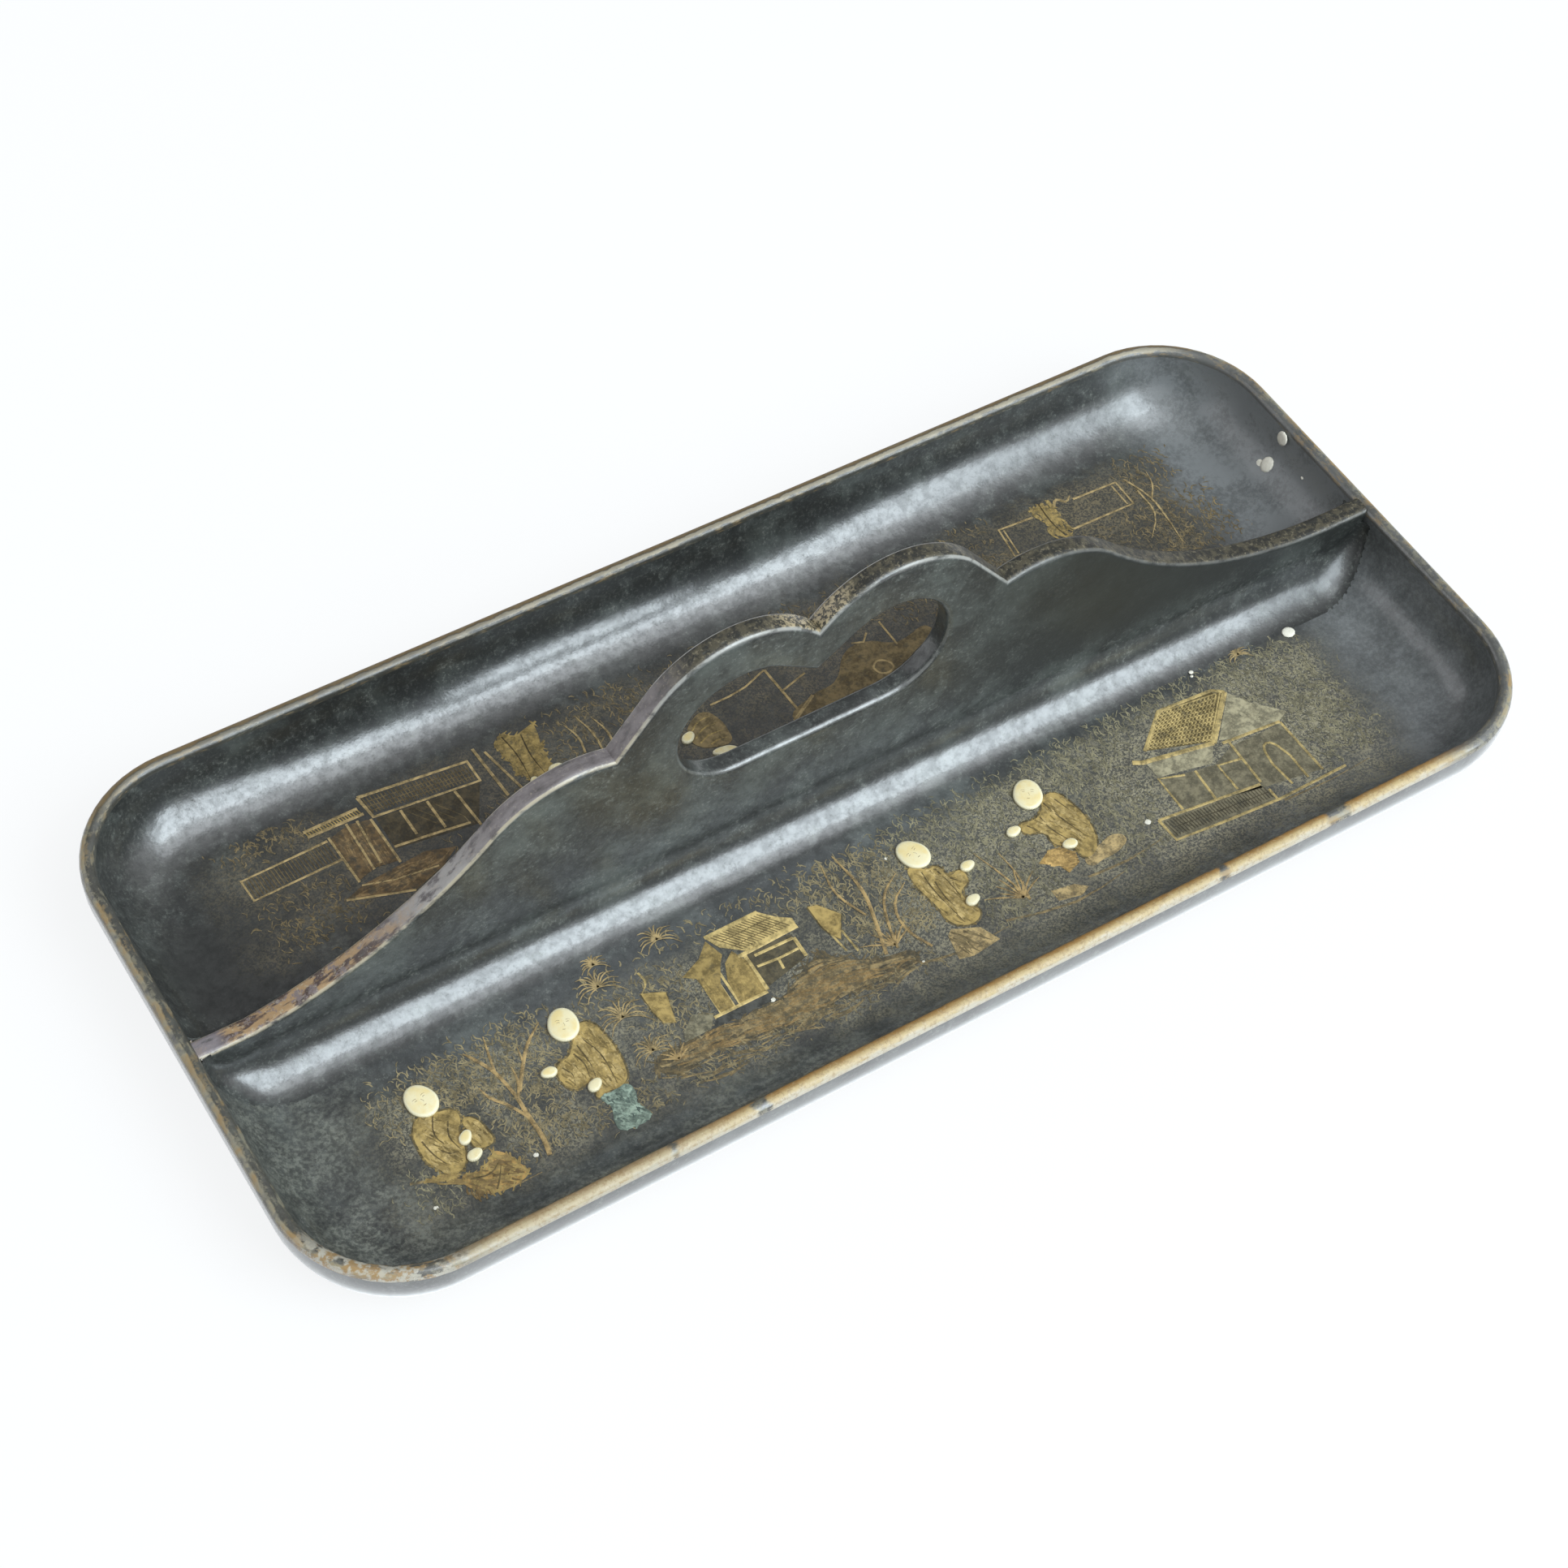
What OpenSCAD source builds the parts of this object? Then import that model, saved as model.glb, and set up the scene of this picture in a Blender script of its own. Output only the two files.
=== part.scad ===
// Lacquer pen tray: a coved oblong shell, a scalloped handle board that stands along its middle
// and parts it into two troughs, cove fillets at the board's foot, and bone plaques for the faces
// and hands of the figures painted on the trough floors.
// Millimetres, +Z up, +X along the tray, origin at the middle of the flat base.

/* [Tray shell] */
// Length over the rim
tray_l = 301; // [270:1:360]
// Width over the rim
tray_w = 138; // [124:1:180]
// Corner radius over the rim
corner_r = 27.5; // [20:0.5:45]
// Thickness of the wall, rounded over at the rim
wall_t = 3.4; // [2.5:0.1:5]
// Thickness of the floor
floor_t = 3.5; // [2.5:0.1:6]
// Depth of the troughs below the top of the rim
trough_d = 17; // [15:0.5:30]
// Radius of the cove between the floor and the walls
cove_r = 15; // [8:0.5:16]
// Radius of the turn from the wall to the base, outside
turn_r = 17; // [8:0.5:18]

/* [Handle board] */
// Thickness of the board
board_t = 5; // [4:0.1:8]
// Shift of the board's scallop from the middle of the tray
board_shift = -5; // [-10:0.5:10]
// Lean of the scalloped edge, in degrees
board_lean = 0.8; // [0:0.1:2]
// Radius of the two top lobes
lobe_r = 24.5; // [22:0.5:28]
// Distance of each lobe's centre from the middle of the scallop
lobe_x = 19; // [15:0.5:22]
// Height of the lobes above the rim
lobe_top = 55.3; // [50:0.1:70]
// Radius of the two shoulders
shoulder_r = 28; // [24:0.5:34]
// Distance of each shoulder's centre from the middle of the scallop
shoulder_x = 56; // [54:0.5:62]
// Height of the shoulders above the rim
shoulder_top = 35.6; // [32:0.1:40]
// Distance of the cusp between lobe and shoulder from the middle of the scallop
cusp_x = 47.4; // [46:0.1:50]
// Angle at which a shoulder turns into its hollow sweep, in degrees
sweep_turn = 45; // [35:1:50]
// Radius of the hollow sweep that runs down to the tray's end
sweep_r = 100; // [70:1:120]
// Depth below the rim at which the board's edge runs out level to the ends
end_drop = 2.4; // [2:0.1:5]

/* [Hand hole] */
// Radius of the two ends of the heart-shaped hole
hole_r = 14.8; // [12:0.1:16]
// Distance of each end's centre from the middle of the scallop
hole_x = 17.8; // [16:0.1:19]
// Height of the hole's lower edge above the rim
hole_low = 13.6; // [10:0.1:15]
// Height of the point that hangs between the two ends, above the rim
hole_point = 34; // [32:0.1:36]

/* [Joints] */
// Depth of the floor groove that holds the board's tongue
groove_d = 1.5; // [1:0.1:2]
// Distance that the groove stops short of the end coves
groove_stop = 6; // [2:0.5:20]
// Glue gap round the tongue and at the board's ends
glue_gap = 0.15; // [0.05:0.05:0.3]
// Extra radius of the board's lower corners, so that they clear the end coves
scribe_ease = 0.5; // [0.2:0.1:1]

/* [Cove fillets] */
// Radius of the hollow fillet at the board's foot
fillet_r = 10; // [6:0.5:13]
// Thickness of the fillet's feathered edges
feather_t = 0.3; // [0.2:0.1:0.6]
// Width that is left of the fillet where it climbs to the rim
tip_w = 2.5; // [1.5:0.1:4]

/* [Bone plaques] */
// Thickness of a plaque at its middle
bone_t = 1; // [0.7:0.1:1.5]
// Radius of the domed top
bone_dome_r = 16; // [12:1:40]
// Width of a face
face_w = 6.6; // [6:0.1:7.5]
// Height of a face
face_h = 8.1; // [7.8:0.1:10]
// Width of a hand
hand_w = 2.5; // [2:0.1:3]
// Length of a hand
hand_l = 3.6; // [3.4:0.1:5]
// Length of the one hand that holds out its sleeve
long_hand_l = 6; // [5:0.1:9]

/* [Places of the plaques] */
// Seated figure: distance of its face in from the left end of the flat floor
seated_in = 21.7; // [16:0.1:32]
// Seated figure: distance of its face up from the middle of the front trough
seated_up = 6.8; // [0:0.1:10]
// Seated figure: offset of its upper hand from its face
seated_upper = [3.8, -11.9]; // [-17:0.1:9]
// Seated figure: offset of its lower hand from its face
seated_lower = [3.6, -16.3]; // [-17:0.1:9]
// Seated figure: turns of its face, upper hand and lower hand, in degrees
seated_turns = [13, -47, -74]; // [-90:1:90]
// Stooping figure: distance of its face along the tray from the middle
stooping_x = -76.7; // [-85:0.1:-65]
// Stooping figure: distance of its face up from the middle of the front trough
stooping_up = 8.4; // [0:0.1:10]
// Stooping figure: offset of its far hand from its face
stooping_far = [-8.1, -8.6]; // [-17:0.1:9]
// Stooping figure: offset of its near hand from its face
stooping_near = [-1.4, -15.8]; // [-17:0.1:9]
// Stooping figure: turns of its face, far hand and near hand, in degrees
stooping_turns = [-18, 83, -64]; // [-90:1:90]
// Standing figure: distance of its face along the tray from the middle
standing_x = 9.9; // [0:0.1:15]
// Standing figure: distance of its face up from the middle of the front trough
standing_up = 8.7; // [0:0.1:10]
// Standing figure: offset of its upper hand from its face
standing_upper = [8.6, -8.3]; // [-17:0.1:9]
// Standing figure: offset of its lower hand from its face
standing_lower = [4.7, -16.3]; // [-17:0.1:9]
// Standing figure: turns of its face, upper hand and lower hand, in degrees
standing_turns = [26, -84, -78]; // [-90:1:90]
// Bowing figure: distance of its face along the tray from the middle
bowing_x = 40.8; // [36:0.1:70]
// Bowing figure: distance of its face up from the middle of the front trough
bowing_up = 9.8; // [0:0.1:10]
// Bowing figure: offset of its far hand from its face
bowing_far = [-8.4, -6.8]; // [-17:0.1:9]
// Bowing figure: offset of its near hand from its face
bowing_near = [0.5, -15.6]; // [-17:0.1:9]
// Bowing figure: turns of its face, far hand and near hand, in degrees
bowing_turns = [-27, -85, 80]; // [-90:1:90]
// Kneeling figure: distance of its face along the tray from the middle
kneeling_x = -18; // [-30:0.1:20]
// Kneeling figure: distance of its face up from the middle of the rear trough
kneeling_up = 6.5; // [0:0.1:10]
// Kneeling figure: offset of its left hand from its face
kneeling_left = [1.7, -9.8]; // [-17:0.1:9]
// Kneeling figure: offset of its right hand, which holds out the sleeve, from its face
kneeling_right = [7.1, -17]; // [-17:0.1:9]
// Kneeling figure: turns of its face, left hand and right hand, in degrees
kneeling_turns = [0, -62, 72]; // [-90:1:90]
// Caped figure, which shows hands alone: distance of its upper hand along the tray from the middle
caped_x = -45.9; // [-60:0.1:-40]
// Caped figure: distance of its upper hand up from the middle of the rear trough
caped_up = 3.6; // [0:0.1:10]
// Caped figure: offset of its lower hand from its upper hand
caped_lower = [-5.6, -1.4]; // [-17:0.1:9]
// Caped figure: turns of its upper hand and lower hand, in degrees
caped_turns = [-82, 0]; // [-90:1:90]

/* [Hidden] */
$fn = 96;
lacquer = "#2b2e30";
bone = "#f0e6c6";
// Overshoot of a cut past the face that it opens
past = 1;
// Depth by which a line or an arc runs into the arc that it meets
blend = 0.02;

// The rim is a full round of the wall's thickness, and the cove ends below it
rim_h = floor_t + trough_d;
rim_r = wall_t/2;
cove = min(cove_r, trough_d - rim_r);
turn = min(turn_r, rim_h - rim_r);
inner_l = tray_l/2 - wall_t;
inner_w = tray_w/2 - wall_t;
side_l = tray_l - 2*corner_r;
side_w = tray_w - 2*corner_r;

// The board's outline is drawn about the middle of its scallop, with heights from the rim
lobe_y = lobe_top - lobe_r;
shoulder_y = shoulder_top - shoulder_r;
cusp_y = shoulder_y + sqrt(pow(shoulder_r, 2) - pow(shoulder_x - cusp_x, 2));
sweep_x = shoulder_x + (shoulder_r + sweep_r)*sin(sweep_turn);
sweep_y = shoulder_y + (shoulder_r + sweep_r)*cos(sweep_turn);
join_y = shoulder_y + shoulder_r*cos(sweep_turn);
hole_y = hole_low + hole_r;
scribe_r = cove + scribe_ease;
tongue_l = 2*(inner_l - cove - groove_stop);

// The fillet climbs each end wall on a quarter turn whose axis lies level with the rim
climb_r = trough_d - fillet_r - feather_t;
climb_x = inner_l - climb_r - feather_t - tip_w;

// Middle of each trough's flat floor, across the tray, and the seated figure's place along it
trough_mid = (board_t/2 + fillet_r + inner_w - cove)/2;
seated_x = seated_in - (inner_l - cove);

// Point where a line from p touches the circle about c, on the left of the line from c to p
function touch(c, r, p) =
    let (d = norm(p - c), a = atan2(p[1] - c[1], p[0] - c[0]) + acos(r/d))
    c + r*[cos(a), sin(a)];

// Section through the wall and the floor beside it: 0 at the corner's centre, the outer face at corner_r
module wall_section() {
    difference() {
        intersection() {
            union() {
                translate([corner_r - turn, turn]) circle(turn);
                translate([0, turn]) square([corner_r, rim_h - rim_r - turn]);
                square([corner_r - turn, turn + past]);
            }
            square([corner_r, rim_h - rim_r]);
        }
        translate([corner_r - wall_t - cove, floor_t + cove]) circle(cove);
        translate([-past, floor_t + cove]) square([corner_r - wall_t + past, rim_h]);
        translate([-past, floor_t]) square([corner_r - wall_t - cove + past, rim_h]);
    }
    translate([corner_r - rim_r, rim_h - rim_r]) circle(rim_r);
}

// One straight side of the shell, of the given length, with its outer face towards +Y
module shell_side(length) {
    rotate([90, 0, 90]) linear_extrude(length, center = true) wall_section();
}

module tray_shell() {
    color(lacquer) difference() {
        union() {
            translate([-side_l/2, -side_w/2, 0]) cube([side_l, side_w, floor_t]);
            for (turned = [0, 180]) rotate(turned) {
                translate([0, side_w/2, 0]) shell_side(side_l);
                translate([side_l/2, 0, 0]) rotate(-90) shell_side(side_w);
                translate([side_l/2, side_w/2, 0]) rotate_extrude(angle = 90) wall_section();
                translate([-side_l/2, side_w/2, 0]) rotate(90) rotate_extrude(angle = 90) wall_section();
            }
        }
        translate([-tongue_l/2 - glue_gap, -board_t/2 - glue_gap, floor_t - groove_d])
            cube([tongue_l + 2*glue_gap, board_t + 2*glue_gap, groove_d + past]);
    }
}

// Lengthwise section of the inside of the shell, eased at its corners and held off the end walls
module basin_section() {
    reach = inner_l - glue_gap;
    height = rim_h + lobe_top + past;
    translate([-reach + scribe_r, floor_t]) square([2*(reach - scribe_r), height]);
    translate([-reach, floor_t + scribe_r]) square([2*reach, height]);
    for (side = [-1, 1]) translate([side*(reach - scribe_r), floor_t + scribe_r]) circle(scribe_r);
}

// Lengthwise section of the inside, up to the level ends of the board
module up_to_board_ends() {
    translate([-inner_l, 0]) square([2*inner_l, rim_h - end_drop]);
}

// Right half of the board above and below the rim, up to its scalloped edge
module scallop_half() {
    depth = rim_h + past;
    reach = tray_l;
    cusp = [cusp_x, cusp_y];
    flank_top = touch([lobe_x, lobe_y], lobe_r - blend, cusp);
    flank_end = cusp + past*(cusp - flank_top)/norm(cusp - flank_top);
    translate([lobe_x, lobe_y]) circle(lobe_r);
    translate([shoulder_x, shoulder_y]) circle(shoulder_r);
    polygon([[0, -depth], [flank_end[0], -depth], flank_end, flank_top, [lobe_x, lobe_y], [0, lobe_y]]);
    translate([0, -depth]) square([shoulder_x, depth + shoulder_y]);
    difference() {
        translate([shoulder_x - past, -depth]) square([reach, depth + join_y]);
        translate([sweep_x, sweep_y]) circle(sweep_r + blend);
        translate([sweep_x, sweep_y - sweep_r]) square([reach, sweep_r]);
    }
}

// Heart-shaped hole for the fingers
module hand_hole() {
    left = [-hole_x, hole_y];
    right = [hole_x, hole_y];
    point = [0, hole_point];
    left_touch = touch(left, hole_r - blend, point);
    right_touch = [-left_touch[0], left_touch[1]];
    bottom = hole_low + blend;
    for (centre = [left, right]) translate(centre) circle(hole_r);
    polygon([[-hole_x, bottom], [hole_x, bottom], right, right_touch, point, left_touch, left]);
}

module handle_divider() {
    color(lacquer) rotate([90, 0, 0]) linear_extrude(board_t, center = true) {
        difference() {
            intersection() {
                union() {
                    translate([board_shift, rim_h]) rotate(board_lean) {
                        scallop_half();
                        mirror([1, 0]) scallop_half();
                    }
                    up_to_board_ends();
                }
                basin_section();
            }
            translate([board_shift, rim_h]) rotate(board_lean) hand_hole();
        }
        translate([-tongue_l/2, floor_t - groove_d]) square([tongue_l, groove_d + past]);
    }
}

// Section of the fillet: first its distance out from the climb's axis, then from the board's face
module fillet_section(reach) {
    difference() {
        translate([climb_r, 0]) square([reach, fillet_r + feather_t]);
        translate([climb_r, fillet_r + feather_t]) circle(fillet_r);
    }
}

// Fillet on the near side of the board: a straight run, and a climb up each end wall
module cove_fillet() {
    end_reach = cove + fillet_r;
    color(lacquer) intersection() {
        rotate([90, 0, 0]) translate([0, rim_h, board_t/2]) {
            translate([-climb_x, 0, 0]) rotate([90, 0, 90]) linear_extrude(2*climb_x)
                mirror([1, 0]) fillet_section(fillet_r + feather_t);
            translate([climb_x, 0, 0]) rotate(270) rotate_extrude(angle = 90) fillet_section(end_reach);
            translate([-climb_x, 0, 0]) rotate(180) rotate_extrude(angle = 90) fillet_section(end_reach);
        }
        rotate([90, 0, 0]) linear_extrude(board_t + 2*(fillet_r + feather_t) + past, center = true)
            intersection() {
                basin_section();
                up_to_board_ends();
            }
    }
}

module front_cove_fillet() { cove_fillet(); }
module rear_cove_fillet() { mirror([0, 1, 0]) cove_fillet(); }

// Plaque of the given width and height: a plate with round ends and a domed top, glued to the floor
module plaque(w, h) {
    color(bone) intersection() {
        linear_extrude(bone_t) {
            for (end = [-1, 1]) translate([0, end*(h - w)/2]) circle(w/2);
            square([w, h - w], center = true);
        }
        translate([0, 0, bone_t - bone_dome_r]) sphere(bone_dome_r);
    }
}

// Places for the front trough (side -1) and the rear trough (side 1), on the floor
module on_floor(side, x, up, angle) {
    translate([x, side*trough_mid + up, floor_t]) rotate(angle) children();
}

module face(side, x, up, angle) { on_floor(side, x, up, angle) plaque(face_w, face_h); }
module hand(side, x, up, offset, angle, length = hand_l) {
    on_floor(side, x + offset[0], up + offset[1], angle) plaque(hand_w, length);
}

module seated_figure_face() { face(-1, seated_x, seated_up, seated_turns[0]); }
module seated_figure_upper_hand() { hand(-1, seated_x, seated_up, seated_upper, seated_turns[1]); }
module seated_figure_lower_hand() { hand(-1, seated_x, seated_up, seated_lower, seated_turns[2]); }
module stooping_figure_face() { face(-1, stooping_x, stooping_up, stooping_turns[0]); }
module stooping_figure_far_hand() { hand(-1, stooping_x, stooping_up, stooping_far, stooping_turns[1]); }
module stooping_figure_near_hand() { hand(-1, stooping_x, stooping_up, stooping_near, stooping_turns[2]); }
module standing_figure_face() { face(-1, standing_x, standing_up, standing_turns[0]); }
module standing_figure_upper_hand() { hand(-1, standing_x, standing_up, standing_upper, standing_turns[1]); }
module standing_figure_lower_hand() { hand(-1, standing_x, standing_up, standing_lower, standing_turns[2]); }
module bowing_figure_face() { face(-1, bowing_x, bowing_up, bowing_turns[0]); }
module bowing_figure_far_hand() { hand(-1, bowing_x, bowing_up, bowing_far, bowing_turns[1]); }
module bowing_figure_near_hand() { hand(-1, bowing_x, bowing_up, bowing_near, bowing_turns[2]); }
module kneeling_figure_face() { face(1, kneeling_x, kneeling_up, kneeling_turns[0]); }
module kneeling_figure_left_hand() { hand(1, kneeling_x, kneeling_up, kneeling_left, kneeling_turns[1]); }
module kneeling_figure_right_hand() {
    hand(1, kneeling_x, kneeling_up, kneeling_right, kneeling_turns[2], long_hand_l);
}
module caped_figure_upper_hand() { hand(1, caped_x, caped_up, [0, 0], caped_turns[0]); }
module caped_figure_lower_hand() { hand(1, caped_x, caped_up, caped_lower, caped_turns[1]); }

tray_shell();
handle_divider();
front_cove_fillet();
rear_cove_fillet();
seated_figure_face();
seated_figure_upper_hand();
seated_figure_lower_hand();
stooping_figure_face();
stooping_figure_far_hand();
stooping_figure_near_hand();
standing_figure_face();
standing_figure_upper_hand();
standing_figure_lower_hand();
bowing_figure_face();
bowing_figure_far_hand();
bowing_figure_near_hand();
kneeling_figure_face();
kneeling_figure_left_hand();
kneeling_figure_right_hand();
caped_figure_upper_hand();
caped_figure_lower_hand();
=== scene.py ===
"""Lacquer pen tray: coved shell, scalloped handle board, foot fillets, bone plaques and painted scenes."""

import math
import random

import bpy
from bpy.props import FloatProperty, FloatVectorProperty, PointerProperty
from mathutils import Matrix, Vector


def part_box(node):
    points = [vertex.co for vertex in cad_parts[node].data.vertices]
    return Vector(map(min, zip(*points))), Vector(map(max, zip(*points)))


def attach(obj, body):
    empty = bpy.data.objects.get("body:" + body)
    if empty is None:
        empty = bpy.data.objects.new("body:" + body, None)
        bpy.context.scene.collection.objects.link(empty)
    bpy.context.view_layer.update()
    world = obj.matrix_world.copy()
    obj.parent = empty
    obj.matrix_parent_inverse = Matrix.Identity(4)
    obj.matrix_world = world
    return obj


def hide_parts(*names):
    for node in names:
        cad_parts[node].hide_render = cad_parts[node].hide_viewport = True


bl_info = {
    "name": "Lacquer Pen Tray",
    "version": (1, 0, 0),
    "blender": (4, 5, 0),
    "location": "3D View > Sidebar > Pen Tray",
    "description": "Builds a lacquer pen tray with a handle board, bone plaques and gold painted floors",
    "category": "Add Mesh",
}

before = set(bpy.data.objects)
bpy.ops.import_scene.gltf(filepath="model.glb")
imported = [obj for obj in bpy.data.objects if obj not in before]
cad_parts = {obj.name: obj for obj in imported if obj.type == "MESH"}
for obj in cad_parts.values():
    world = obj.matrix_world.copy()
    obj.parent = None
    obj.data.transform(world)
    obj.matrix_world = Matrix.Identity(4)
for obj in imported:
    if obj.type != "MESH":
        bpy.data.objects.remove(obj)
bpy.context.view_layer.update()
MM = 0.001
SHELL_LOW, SHELL_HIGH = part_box("tray_shell")
BOARD_LOW, BOARD_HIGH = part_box("handle_divider")

# Sizes in millimetres that the shapes and the masks of the materials share
HALF_LENGTH = 150.5
HALF_WIDTH = 69.0
CORNER = 27.5
WALL = 3.4
FLOOR = 3.5

# Places closer together than this, in metres, count as the same
NEAR = 0.01 * MM


# Sizes and colours that a user would change

def length(name, text, value):
    return FloatProperty(name=name, description=text, default=value, min=0.0, unit="LENGTH", precision=5)


def colour(name, text, value):
    return FloatVectorProperty(name=name, description=text, default=value, size=3, min=0.0, max=1.0,
                               subtype="COLOR")


class PenTraySizes(bpy.types.PropertyGroup):
    """Sizes of the tray and its board, in metres"""
    tray_length: length("Length", "Length over the rim", SHELL_HIGH[0] - SHELL_LOW[0])
    tray_width: length("Width", "Width over the rim", SHELL_HIGH[1] - SHELL_LOW[1])
    rim_height: length("Rim height", "Height of the rim above the table", SHELL_HIGH[2])
    corner_radius: length("Corner radius", "Radius of the corners over the rim", CORNER * MM)
    wall: length("Wall", "Thickness of the wall, rounded over at the rim", WALL * MM)
    floor: length("Floor", "Thickness of the floor", FLOOR * MM)
    cove: length("Cove", "Radius of the cove inside", 15 * MM)
    turn: length("Turn", "Radius of the turn to the base outside", 17 * MM)
    board: length("Board", "Thickness of the handle board", BOARD_HIGH[1] - BOARD_LOW[1])
    board_edge: length("Board edge", "Rounding of the board's edges", 1.3 * MM)
    fillet: length("Fillet", "Radius of the fillet at the board's foot", 10 * MM)
    fillet_tip: length("Fillet tip", "Width of the fillet where it fades out at the rim", 2.5 * MM)
    end_drop: length("End drop", "Depth of the board's ends below the rim", 2.4 * MM)
    bone: length("Bone", "Thickness of the bone plaques", 1.0 * MM)


class PenTrayLook(bpy.types.PropertyGroup):
    """Colours of the finishes"""
    lacquer: colour("Lacquer", "Black lacquer", (0.019, 0.021, 0.020))
    haze: colour("Haze", "Haze of age on the lacquer", (0.072, 0.083, 0.076))
    gilt: colour("Gilt", "Gilding on the rim", (0.46, 0.35, 0.165))
    mist: colour("Mist", "Gold dust on the floors", (0.30, 0.27, 0.175))
    gold: colour("Gold", "Gold paint of robes and roofs", (0.41, 0.295, 0.105))
    pale_gold: colour("Pale gold", "Pale gold of roofs and lines", (0.48, 0.365, 0.15))
    brown: colour("Brown gold", "Brown gold of trees and ground", (0.33, 0.245, 0.115))
    orange: colour("Orange gold", "Orange gold of sashes and skirts", (0.47, 0.30, 0.10))
    turquoise: colour("Turquoise", "Turquoise of one skirt", (0.20, 0.265, 0.215))
    bone: colour("Bone", "Bone of the faces and hands", (0.84, 0.78, 0.54))


class PenTrayStage(bpy.types.PropertyGroup):
    """Camera and light"""
    lens: FloatProperty(name="Lens", description="Focal length of the camera, in millimetres",
                        default=68.86)
    eye: FloatVectorProperty(name="Eye", description="Place of the camera",
                             default=(-0.23535, -0.31139, 0.53102), size=3, subtype="XYZ", unit="LENGTH")
    heading: FloatProperty(name="Heading", description="Turn of the camera about the vertical",
                           default=math.radians(-35.945), subtype="ANGLE")
    pitch: FloatProperty(name="Pitch", description="Height of the camera above the horizon",
                         default=math.radians(53.275), subtype="ANGLE")
    roll: FloatProperty(name="Roll", description="Roll of the camera", default=math.radians(5.273),
                        subtype="ANGLE")
    window_power: FloatProperty(name="Window", description="Power of the large window light",
                                default=21.0)
    room: FloatProperty(name="Room", description="Strength of the room's light", default=0.56)
    paper: colour("Floor", "Pale floor under the tray", (0.90, 0.92, 0.93))


class PenTray(bpy.types.PropertyGroup):
    """All settings of the tray"""
    sizes: PointerProperty(type=PenTraySizes)
    look: PointerProperty(type=PenTrayLook)
    stage: PointerProperty(type=PenTrayStage)


# Modelling helpers

def start_clean():
    if bpy.context.object and bpy.context.object.mode != "OBJECT":
        bpy.ops.object.mode_set(mode="OBJECT")
    bpy.ops.object.select_all(action="DESELECT")


def only(obj):
    start_clean()
    obj.select_set(True)
    bpy.context.view_layer.objects.active = obj


def pick(obj, kind, test):
    """Goes into edit mode with just the parts selected for which test(points) holds."""
    only(obj)
    bpy.ops.object.mode_set(mode="EDIT")
    bpy.ops.mesh.select_mode(type=kind)
    bpy.ops.mesh.select_all(action="DESELECT")
    bpy.ops.object.mode_set(mode="OBJECT")
    mesh = obj.data
    parts = {"VERT": mesh.vertices, "EDGE": mesh.edges, "FACE": mesh.polygons}[kind]
    found = 0
    for part in parts:
        corners = [part.index] if kind == "VERT" else part.vertices
        part.select = test([mesh.vertices[i].co for i in corners])
        found += part.select
    if not found:
        raise RuntimeError(obj.name + ": nothing to select")
    bpy.ops.object.mode_set(mode="EDIT")


def round_edges(offset, segments):
    """Rounds the edges that are selected."""
    bpy.ops.mesh.bevel(offset=offset, segments=segments, profile=0.5, affect="EDGES", clamp_overlap=False)


def done(obj, name, angle=None):
    """Leaves edit mode, applies the place and shades the piece smooth."""
    only(obj)
    obj.name = name
    obj.data.name = name
    bpy.ops.object.transform_apply(location=True, rotation=True, scale=True)
    if angle is None:
        bpy.ops.object.shade_smooth()
    else:
        bpy.ops.object.shade_smooth_by_angle(angle=math.radians(angle))
    return obj


def apply_modifier(obj, kind, **settings):
    only(obj)
    made = obj.modifiers.new(kind.lower(), kind)
    for key, value in settings.items():
        setattr(made, key, value)
    bpy.ops.object.modifier_apply(modifier=made.name)


def finish_piece(obj, slot, material, *nodes):
    obj.data.materials.clear()
    obj.data.materials.append(material)
    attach(obj, "root")
    if nodes:
        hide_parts(*nodes)


# Material helpers

def node(tree, kind, inputs=None, **settings):
    """A new node with its settings, and with its inputs linked to fields or set to plain values."""
    made = tree.nodes.new(kind)
    for key, value in settings.items():
        setattr(made, key, value)
    for key, value in (inputs or {}).items():
        source = getattr(value, "socket", value)
        if isinstance(source, bpy.types.NodeSocket):
            tree.links.new(source, made.inputs[key])
        else:
            made.inputs[key].default_value = source
    return made


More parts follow.
